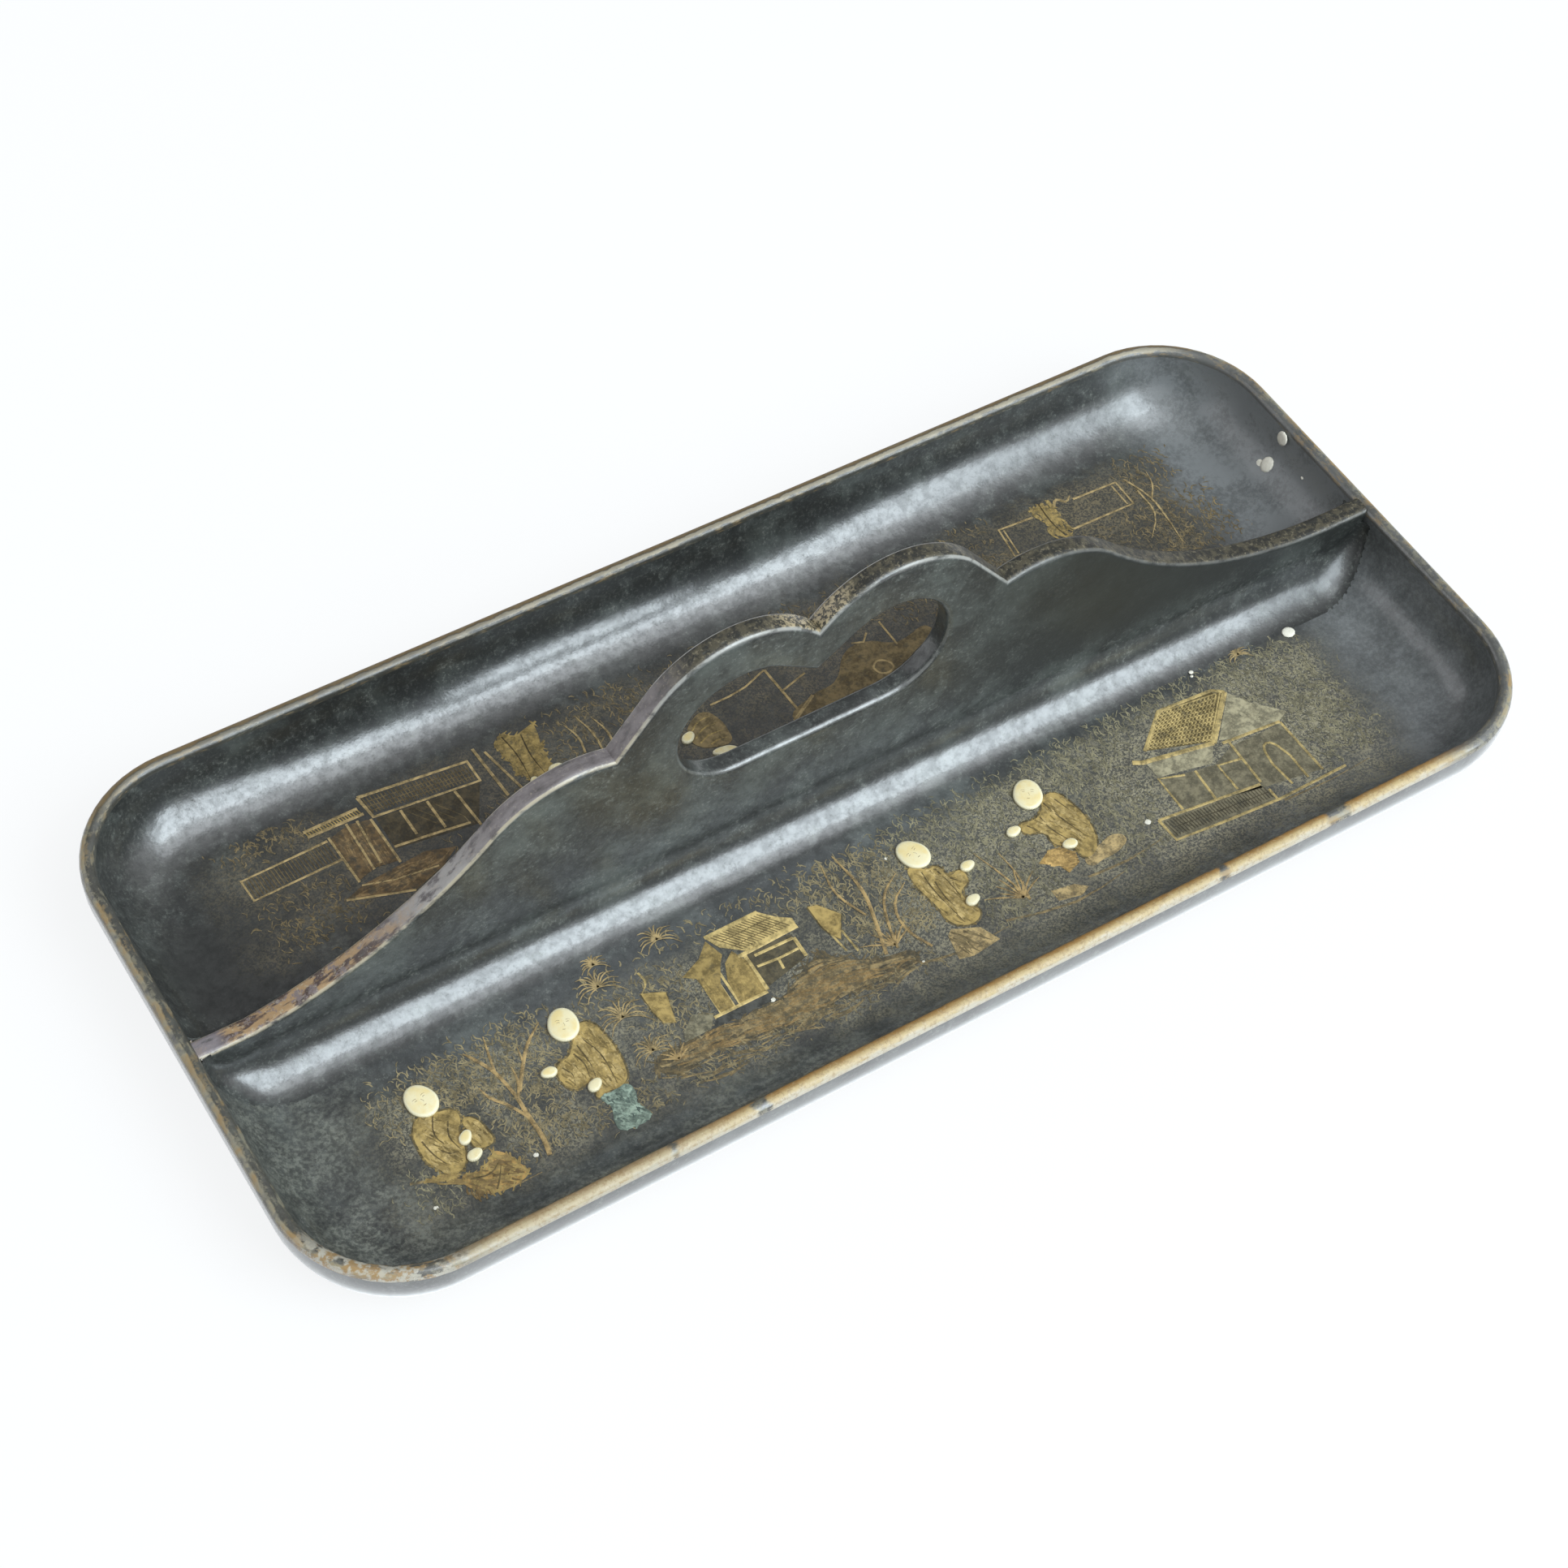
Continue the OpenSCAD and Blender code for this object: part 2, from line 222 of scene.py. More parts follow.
class Field:
    """A number, colour or place that varies over a surface, and takes part in plain arithmetic."""

    def __init__(self, tree, socket):
        self.tree = tree
        self.socket = socket

    def __add__(self, other):
        return calc("ADD", self, other)

    def __radd__(self, other):
        return calc("ADD", other, self)

    def __sub__(self, other):
        return calc("SUBTRACT", self, other)

    def __rsub__(self, other):
        return calc("SUBTRACT", other, self)

    def __mul__(self, other):
        return calc("MULTIPLY", self, other)

    def __pow__(self, other):
        return calc("POWER", self, other)

    def __abs__(self):
        return calc("ABSOLUTE", self)

    def root(self):
        return calc("SQRT", self)

    def sine(self):
        return calc("SINE", self)

    def clamped(self):
        """Keeps the last sum or product between 0 and 1."""
        self.socket.node.use_clamp = True
        return self

    def step(self, low, high):
        """Rises softly from 0 at low to 1 at high, or falls where high is the lower one."""
        rising = high > low
        ends = {"Value": self, "From Min": min(low, high), "From Max": max(low, high),
                "To Min": 0.0 if rising else 1.0, "To Max": 1.0 if rising else 0.0}
        made = node(self.tree, "ShaderNodeMapRange", ends, interpolation_type="SMOOTHSTEP")
        return Field(self.tree, made.outputs[0])

    def band(self, low, high, soft):
        """1 between low and high, with soft borders."""
        return self.step(low - soft, low + soft) * self.step(high + soft, high - soft)

    def blend(self, first, second):
        """The first colour where the field is 0, and the second where it is 1."""
        made = node(self.tree, "ShaderNodeMix", {0: self}, data_type="RGBA")
        for index, value in ((6, first), (7, second)):
            if isinstance(value, Field):
                self.tree.links.new(value.socket, made.inputs[index])
            else:
                made.inputs[index].default_value = (*value, 1.0)
        return Field(self.tree, made.outputs[2])

    def noise(self, scale, detail=3.0, roughness=0.55):
        """Clouds over the places of the field, with scale in clouds per millimetre."""
        inputs = {"Vector": self, "Scale": scale, "Detail": detail, "Roughness": roughness}
        return Field(self.tree, node(self.tree, "ShaderNodeTexNoise", inputs).outputs["Fac"])

    def axes(self):
        split = node(self.tree, "ShaderNodeSeparateXYZ", {0: self})
        return [Field(self.tree, output) for output in split.outputs]

    def vector(self, operation, other, output="Value"):
        made = node(self.tree, "ShaderNodeVectorMath", {0: self, 1: other}, operation=operation)
        return Field(self.tree, made.outputs[output])


def calc(operation, first, second=0.0):
    """One sum on two fields, or on a field and a number."""
    tree = (first if isinstance(first, Field) else second).tree
    made = node(tree, "ShaderNodeMath", {0: first, 1: second}, operation=operation)
    return Field(tree, made.outputs[0])


def highest(first, second):
    return calc("MAXIMUM", first, second)


def shade(tone, share):
    """The colour made darker or lighter."""
    return tuple(share * c for c in tone)


def new_material(name):
    """A material with its shader, and the place on the object in millimetres."""
    material = bpy.data.materials.new(name)
    material.use_nodes = True
    tree = material.node_tree
    shader = tree.nodes["Principled BSDF"]
    coords = node(tree, "ShaderNodeTexCoord").outputs["Object"]
    inputs = {0: coords, "Scale": 1 / MM}
    place = node(tree, "ShaderNodeVectorMath", inputs, operation="SCALE").outputs["Vector"]
    return material, shader, Field(tree, place)


def surface_normal(place):
    return Field(place.tree, node(place.tree, "ShaderNodeNewGeometry").outputs["Normal"])


def feed(shader, **inputs):
    """Sets or links the inputs of a shader, named with underscores for spaces."""
    for key, value in inputs.items():
        socket = shader.inputs[key.replace("_", " ")]
        if isinstance(value, Field):
            value.tree.links.new(value.socket, socket)
        else:
            socket.default_value = value


def bump(shader, height, strength, distance):
    """Gives the body and its clear coat the same relief."""
    inputs = {"Height": height, "Strength": strength, "Distance": distance * MM}
    relief = Field(height.tree, node(height.tree, "ShaderNodeBump", inputs).outputs[0])
    feed(shader, Normal=relief, Coat_Normal=relief)


def lacquer_relief(place):
    """Heights of old lacquer in millimetres: slow waves, brush dips and fine pits."""
    waves = place.noise(0.12, 2.0) * 0.13
    dips = place.noise(0.5, 2.0) * 0.02
    pits = place.noise(1.6, 2.0) * 0.021
    return waves + dips + pits


def aged_lacquer(shader, place, look, age):
    """Colour and polish of black lacquer with cloudy haze, scuffs and fine pale dust."""
    cloud = place.noise(0.05, 6.0, 0.66)
    haze = cloud.step(0.76 - age, 1.02 - age)
    body = haze.blend(look.lacquer, look.haze)
    scuff = place.noise(0.21, 6.0, 0.7).step(0.47, 0.66)
    scuff_grey = (0.106, 0.119, 0.11)
    body = (scuff * 0.35).blend(body, scuff_grey)
    dust = place.noise(1.3, 3.0, 0.7).step(0.5, 0.68)
    pale = dust * (0.16 + scuff * 0.3)
    rubbed = place.noise(0.4, 5.0, 0.7).step(0.36, 0.62)
    polish = 0.58 + rubbed * 0.42
    polish = polish - dust * 0.3
    feed(shader, Coat_IOR=1.9, Coat_Roughness=0.21)
    dust_grey = (0.23, 0.24, 0.215)
    return pale.blend(body, dust_grey), polish


def rim_distance(x, y):
    """Distance across the rim from its inner to its outer edge, in millimetres, all the way round."""
    over_x = highest(abs(x) - (HALF_LENGTH - CORNER), 0.0)
    over_y = highest(abs(y) - (HALF_WIDTH - CORNER), 0.0)
    squares = over_x ** 2.0 + over_y ** 2.0
    return squares.root() - (CORNER - WALL)


def shell_dust(place, axes, outside, underneath, to_rear, body):
    """The colour with a thin bloom and a painted floor reflection outside, dust in the end coves and the
    near cove.
    """
    x, y, z = axes
    within = 1.0 - outside
    grit = place.noise(0.9, 5.0, 0.7).step(0.42, 0.64)
    patchy = place.noise(0.09, 5.0, 0.65).step(0.34, 0.64)
    # Outside: a patchy bloom, and a painted reflection of the pale floor that grows paler towards the
    # foot; underneath, scrapes instead
    foot = 0.06 + z.step(15.0, 2.0) * 0.5
    foot = foot + patchy * 0.1
    foot = foot * (1.0 - underneath)
    scraped = place.noise(0.3, 5.0, 0.7).step(0.5, 0.66) * 0.16
    foot = foot + underneath * scraped
    bloom_and_floor_reflection_grey = (0.36, 0.38, 0.385)
    body = (outside * foot).blend(body, bloom_and_floor_reflection_grey)
    ends = abs(x).step(116.0, 136.0)
    near_cove = y.step(-46.0, -54.0) * 1.3
    dusty = highest(ends, near_cove) * within
    rear_share = x.step(-60.0, 60.0) * 1.3 - 0.8
    dusty = dusty * (1.0 + to_rear * rear_share)
    dusty = dusty * (1.0 + x.step(40.0, 120.0) * 0.6)
    for spot_x, spot_y, radius, weight in ((-106.0, 22.0, 11.0, 2.0), (-117.0, 45.0, 9.0, 1.1),
                                           (128.0, 33.0, 12.0, 2.4), (-40.0, 40.0, 9.0, 2.0),
                                           (-130.0, -47.0, 18.0, 2.6), (-127.0, -20.0, 14.0, 1.2),
                                           (20.0, 44.0, 26.0, 0.6)):
        off = place.vector("DISTANCE", (spot_x, spot_y, FLOOR))
        dusty = highest(dusty, off.step(radius, 0.2 * radius) * weight)
    settled = 0.16 + patchy * 0.46
    settled = grit * settled + patchy * 0.2
    even = patchy * 0.22 + grit * 0.14
    even = even + 0.26
    even_share = x.step(92.0, 122.0) * 0.8
    settled = settled + even_share * (even - settled)
    dust_left = (0.195, 0.205, 0.172)
    dust_right = (0.175, 0.186, 0.188)
    dust_tone = x.step(-30.0, 60.0).blend(dust_left, dust_right)
    body = (dusty * settled).blend(body, dust_tone)
    # Painted shade on the left corner of the rear floor, where the board shades it
    painted_shade_middle = (-130.0, 23.0, 4.0)
    painted_shade = place.vector("DISTANCE", painted_shade_middle).step(20.0, 8.0) * 0.85
    painted_shade_black = (0.012, 0.013, 0.012)
    return (painted_shade * within).blend(body, painted_shade_black)


def floor_gold(place, axes, rise):
    """Fine curls and grains of gold, thin towards the coves and thicker to the right.

    Gives the area of the painted floors, the marks on it and a thin veil between the marks.
    """
    x, y, _ = axes
    to_right = x.step(-20.0, 50.0)
    ragged = (place.noise(0.16, 4.0) - 0.5) * 9.0
    across = y + ragged
    along = x + ragged
    toe = across - to_right * 5.0
    to_near = across + x.step(-45.0, -5.0) * 6.0
    front = toe.step(-17.0, -24.0) * to_near.step(-57.0, -46.0)
    rear = across.band(17.0, 49.0, 4.0) * 0.62
    floor_area = (front + rear) * along.band(-124.0, 122.0, 8.0)
    floor_area = floor_area * rise.step(0.6, 0.92)
    flow = place.noise(0.13, 2.0, 0.5) * 40.0
    curls = flow.sine().step(0.55, 1.0)
    broken = place.noise(0.6, 3.0, 0.6).step(0.42, 0.62)
    grain = place.noise(1.9, 3.0, 0.75).step(0.44, 0.6)
    drift = place.noise(0.085, 5.0, 0.65).step(0.36, 0.62)
    thick = 0.15 + to_right * 0.24
    thick = thick + drift * 0.52
    marks = (curls * broken * 0.5 + grain).clamped()
    dusted = marks * thick * floor_area
    veil = floor_area * (thick * 0.16)
    return floor_area, dusted, veil


def rim_gilding(place, axes, look, body):
    """Gilding, whole along the near side but for a few gaps, and worn to a thin line elsewhere.

    Gives the colour with the gilding on it, and how much gilding there is.
    """
    x, y, z = axes
    across_rim = rim_distance(x, y)
    stretch = (0.22, 0.22, 1.0)
    along_edge = place.vector("MULTIPLY", stretch, "Vector")
    scratch = along_edge.noise(1.1, 4.0, 0.65)
    wear = place.noise(0.11, 4.0, 0.6)
    on_rim = z.step(18.7, 19.0)
    near = y.step(-58.0, -66.0) * x.band(-121.0, 119.0, 9.0)
    uneven = x + scratch * 5.0
    for middle, half in ((-54.0, 1.5), (-74.5, 0.6), (59.5, 1.1), (90.0, 3.2)):
        bared = uneven.band(middle - half, middle + half, 0.6)
        near = near * (1.0 - bared)
    wavy = across_rim + (scratch - 0.5) * 1.8
    near = near * on_rim * wavy.step(0.2, 0.6)
    inner_ochre = (0.36, 0.19, 0.05)
    ochre = wavy.step(0.6, 2.4).blend(inner_ochre, look.gilt)
    outer_cream = (0.48, 0.44, 0.35)
    ochre = wavy.step(2.5, 3.4).blend(ochre, outer_cream)
    left_ochre = (0.33, 0.3, 0.22)
    ochre = (x.step(-50.0, -80.0) * 0.45).blend(ochre, left_ochre)
    fleck = place.noise(1.2, 4.0, 0.75).step(0.48, 0.62)
    fleck_brown = (0.25, 0.155, 0.06)
    ochre = (fleck * 0.55).blend(ochre, fleck_brown)
    cream = place.noise(1.6, 3.0, 0.7).step(0.56, 0.68)
    rubbed_cream = (0.56, 0.49, 0.34)
    ochre = (cream * 0.35).blend(ochre, rubbed_cream)
    far_side = y.step(58.0, 64.0)
    kept = wear + far_side * 0.16
    thin = wavy.band(2.1, 3.1, 0.25) * kept.step(0.4, 0.5)
    chips = wavy.band(0.2, 1.2, 0.3) * scratch.step(0.5, 0.62)
    far_rim = far_side * on_rim
    far_top = wavy.band(0.6, 1.5, 0.2) * far_rim
    far_top = far_top * (0.3 + x.step(-90.0, -10.0) * 0.4)
    far_top = far_top + far_top * (scratch - 0.5)
    far_outer = wavy.band(1.7, 3.3, 0.2) * far_rim
    mottle = place.noise(0.6, 4.0, 0.7).step(0.47, 0.57) * 0.5
    mottle = mottle * (wavy.step(0.8, 1.8) * (1.0 - far_side))
    thin = highest(thin, chips * 0.6)
    thin = highest(thin, mottle) * on_rim
    tint = wear + far_side * 0.06
    grey_gold = (0.31, 0.285, 0.2)
    red_gold = (0.33, 0.225, 0.095)
    worn_gold = tint.step(0.45, 0.6).blend(grey_gold, red_gold)
    corner = x.step(-116.0, -130.0) * y.step(-44.0, -56.0)
    corner = corner * on_rim * scratch.step(0.4, 0.5)
    bare_rim = (0.06, 0.056, 0.044)
    body = (on_rim * 0.6).blend(body, bare_rim)
    body = (thin * 0.85).blend(body, worn_gold)
    chalky = place.noise(0.5, 4.0, 0.7).step(0.56, 0.46)
    corner_ochre = (0.33, 0.21, 0.085)
    corner_chalk = (0.47, 0.44, 0.36)
    corner_tone = chalky.blend(corner_ochre, corner_chalk)
    body = (corner * 0.8).blend(body, corner_tone)
    far_brown = (0.165, 0.115, 0.055)
    body = (far_outer * 0.8).blend(body, far_brown)
    far_cream = (0.4, 0.355, 0.255)
    body = far_top.blend(body, far_cream)
    gilding = highest(highest(near, thin), highest(far_top, far_outer))
    return (near * 0.95).blend(body, ochre), gilding


def shell_material(look, name, shine, bloom):
    """Lacquer of the shell. The outside is shinier and has a bloom that shows at a slant."""
    material, shader, place = new_material(name)
    feed(shader, IOR=shine, Sheen_Weight=bloom, Sheen_Roughness=0.3)
    axes = place.axes()
    x, y, z = axes
    body, polish = aged_lacquer(shader, place, look, 0.26)
    normal_x, normal_y, normal_z = surface_normal(place).axes()
    outward_x = normal_x * (x * (1 / HALF_LENGTH))
    outward_y = normal_y * (y * (1 / HALF_WIDTH))
    sideways = (outward_x + outward_y).step(0.72, 0.95)
    outside = highest(sideways, normal_z.step(-0.1, -0.3))
    within = 1.0 - outside
    underneath = normal_z.step(-0.6, -0.9)
    to_rear = y.step(-5.0, 5.0)

    # Colour: dust, bloom, painted floor reflection and painted shade, then gold on the floors, then
    # gilding on the rim
    body = shell_dust(place, axes, outside, underneath, to_rear, body)
    floor_area, dusted, veil = floor_gold(place, axes, normal_z)
    # The rear floor is laid blacker than the front, partly as painted shade from the board
    ground = (floor_area * (0.62 + to_rear * 0.58)).clamped()
    floor_black = (0.021, 0.023, 0.022)
    body = ground.blend(body, floor_black)
    rear_mist = (0.235, 0.19, 0.105)
    tone = to_rear.blend(look.mist, rear_mist)
    body = (dusted + veil).blend(body, tone)
    body, gilding = rim_gilding(place, axes, look, body)
    feed(shader, Base_Color=body)

    # Shine: gold is duller than lacquer and has no clear coat
    gold_any = highest(gilding, dusted * 0.6)
    glossy = outside * (1.0 - gold_any).clamped()
    glossy = glossy * (1.0 - underneath * 0.7)
    rough = 0.4 + gold_any * 0.12
    rough = rough - glossy * 0.28
    feed(shader, Roughness=rough)
    bare = (1.0 - gold_any * 0.85).clamped()
    bare = bare * polish * within
    upper = z.step(11.0, 17.0) * y.step(56.0, 62.0) * 0.6
    far_right = x.step(30.0, 110.0) * to_rear * 0.4
    bare = bare * (1.0 - highest(upper, far_right))
    feed(shader, Coat_Weight=bare)
    relief = lacquer_relief(place) * (1.0 - outside * 0.7)
    relief = relief + dusted * 0.03
    bump(shader, relief, 1.0, 1.0)
    return material


def board_material(look):
    """Lacquer of the board, deep black to the right, rubbed along its edges, with painted highlights on
    the slope and arrises.
    """
    material, shader, place = new_material("board_black_lacquer")
    x, _, z = place.axes()
    body, polish = aged_lacquer(shader, place, look, 0.33)
    deep = x.step(15.0, 75.0) * z.step(12.0, 24.0)
    deep_black = (0.019, 0.021, 0.019)
    body = (deep * 0.9).blend(body, deep_black)

    # The edges are rubbed: tan at the low left end, violet grey on the slope, olive on the lobes; painted
    # highlights lie on the slope and along the arrises
    facing = abs(surface_normal(place).axes()[1])
    stretch = (0.3, 1.0, 0.6)
    streaky = place.vector("MULTIPLY", stretch, "Vector")
    streak = streaky.noise(0.55, 4.0, 0.6)
    flake = place.noise(0.5, 4.0, 0.65)
    in_hole = x.band(-40.0, 30.0, 1.0) * z.step(66.0, 65.0)
    outside = 1.0 - in_hole
    edge = facing.step(0.86, 0.55) * outside
    left_end = (x + flake * 30.0).step(-78.0, -100.0)
    slope = x.band(-112.0, -38.0, 8.0)
    lobes = z.step(50.0, 60.0) * x.step(-44.0, -34.0)
    crumb = place.noise(1.2, 4.0, 0.7)
    olive_dark = (0.024, 0.023, 0.019)
    olive_light = (0.082, 0.071, 0.046)
    olive = flake.step(0.42, 0.6).blend(olive_dark, olive_light)
    olive_crumb = (0.27, 0.235, 0.155)
    olive = (crumb.step(0.54, 0.66) * 0.5).blend(olive, olive_crumb)
    violet_dark = (0.105, 0.09, 0.09)
    violet_light = (0.215, 0.19, 0.19)
    violet = streak.step(0.3, 0.66).blend(violet_dark, violet_light)
    # Painted highlight on the middle of the slope
    slope_painted_highlight = x.band(-102.0, -84.0, 6.0) * streak.step(0.36, 0.5)
    slope_highlight_pale = (0.4, 0.385, 0.36)
    violet = (slope_painted_highlight * 0.6).blend(violet, slope_highlight_pale)
    violet_crumb = (0.36, 0.31, 0.25)
    violet = (crumb.step(0.56, 0.68) * 0.5).blend(violet, violet_crumb)
    rubbed = slope.blend(olive, violet)
    rubbed = lobes.blend(rubbed, olive)
    tan_dark = (0.075, 0.048, 0.04)
    tan_light = (0.36, 0.235, 0.12)
    tan = streak.step(0.44, 0.56).blend(tan_dark, tan_light)
    tan_flake = (0.2, 0.16, 0.155)
    tan = flake.step(0.52, 0.62).blend(tan, tan_flake)
    tan_crumb = (0.46, 0.4, 0.29)
    tan = (crumb.step(0.55, 0.66) * 0.6).blend(tan, tan_crumb)
    tip = x.step(-139.0, -143.0)
    tip_violet = (0.24, 0.215, 0.23)
    tan = (tip * 0.8).blend(tan, tip_violet)
    rubbed = left_end.blend(rubbed, tan)
    rubbed_area = edge * streak.step(0.2, 0.42)
    body = (rubbed_area * 0.92).blend(body, rubbed)
    notch = x.band(-15.0, 2.0, 3.0) * lobes
    notch = notch * edge * crumb.step(0.46, 0.56)
    notch_gold = (0.44, 0.36, 0.22)
    body = (notch * 0.8).blend(body, notch_gold)
    # A pale line along the arrises, partly rubbing and partly painted highlight
    arris_rub_and_highlight = facing.band(0.55, 0.9, 0.08) * streak.step(0.34, 0.54)
    arris_rub_and_highlight = arris_rub_and_highlight * (0.2 + outside * 0.5)
    plain_right = 1.0 - x.step(36.0, 50.0) * 0.75
    arris_rub_and_highlight = arris_rub_and_highlight * plain_right
    arris_rub_and_highlight_grey = (0.36, 0.36, 0.33)
    arris_rub_and_highlight_cream = (0.48, 0.42, 0.29)
    cream = x.step(-40.0, -52.0).blend(arris_rub_and_highlight_grey, arris_rub_and_highlight_cream)
    body = arris_rub_and_highlight.blend(body, cream)
    feed(shader, Base_Color=body, Roughness=0.46, IOR=1.4)

    bare = (1.0 - rubbed_area * 0.6).clamped()
    shine = 0.6 - x.step(5.0, 60.0) * 0.55
    shine = shine + facing.step(0.99, 0.9) * 0.4
    bare = bare * polish * shine
    feed(shader, Coat_Weight=bare)
    relief = lacquer_relief(place) + flake * rubbed_area * 0.12
    bump(shader, relief, 1.0, 1.0)
    return material


def fillet_material(look):
    """Lacquer of the fillets, shinier where they turn up and duller at the right end."""
    material, shader, place = new_material("fillet_black_lacquer")
    body, polish = aged_lacquer(shader, place, look, 0.26)
    feed(shader, Base_Color=body)
    rise = surface_normal(place).axes()[2]
    shine = 0.4 + rise.step(0.1, 0.4) * 0.46
    right_end = place.axes()[0].step(110.0, 124.0) * 0.55
    shine = shine * (1.0 - right_end)
    feed(shader, Coat_Weight=polish * shine, Roughness=0.38)
    bump(shader, lacquer_relief(place), 1.0, 1.0)
    return material


def bone_material(look):
    """Bone with yellow stains in the middle and fine pores."""
    material, shader, place = new_material("bone")
    middle = surface_normal(place).axes()[2].step(0.9, 0.995)
    stain = place.noise(0.35, 3.0).step(0.36, 0.66)
    yellow = middle * (0.25 + stain * 0.6)
    bone_yellow = (0.8, 0.64, 0.28)
    body = yellow.blend(look.bone, bone_yellow)
    pore = place.noise(3.2, 2.0).step(0.62, 0.75)
    pore_brown = (0.52, 0.43, 0.27)
    body = (pore * 0.25).blend(body, pore_brown)
    feed(shader, Base_Color=body, Roughness=0.38)
    bump(shader, place.noise(2.4, 2.0), 0.12, 0.1)
    return material


def ink_material():
    material, shader, place = new_material("face_ink")
    ink_dark = (0.22, 0.15, 0.07)
    ink_light = (0.46, 0.34, 0.17)
    body = place.noise(2.0, 2.0).blend(ink_dark, ink_light)
    feed(shader, Base_Color=body, Roughness=0.5)
    return material


def speck_material():
    material, shader, place = new_material("pale_specks")
    speck_dull = (0.66, 0.63, 0.52)
    speck_pale = (0.92, 0.89, 0.78)
    body = place.noise(1.5, 2.0).blend(speck_dull, speck_pale)
    feed(shader, Base_Color=body, Roughness=0.55)
    return material


def paint_material(name, look, tone, worn, under=None):
    """Gold or coloured paint, uneven in depth, with the black showing through where it is worn."""
    material, shader, place = new_material(name)
    rub = place.noise(0.55, 4.0, 0.65)
    fine = place.noise(2.1, 3.0, 0.6)
    broad = place.noise(0.45, 3.0, 0.6).step(0.36, 0.64)
    left = (rub + fine * 0.5).step(worn - 0.18, worn + 0.22)
    depth = broad.blend(shade(tone, 0.5), shade(tone, 1.22))
    glints = fine.step(0.45, 0.68) * 0.5
    light = glints.blend(depth, [min(1.0, 1.3 * c) for c in tone])
    if under is None:
        under = [0.5 * dark + 0.2 * c for dark, c in zip(look.haze, tone)]
    body = left.blend(under, light)
    feed(shader, Base_Color=body, Metallic=0.2, Roughness=0.36 + fine * 0.2)
    bump(shader, fine, 0.2, 0.12)
    return material


# Painting helpers: places are in millimetres on a trough floor

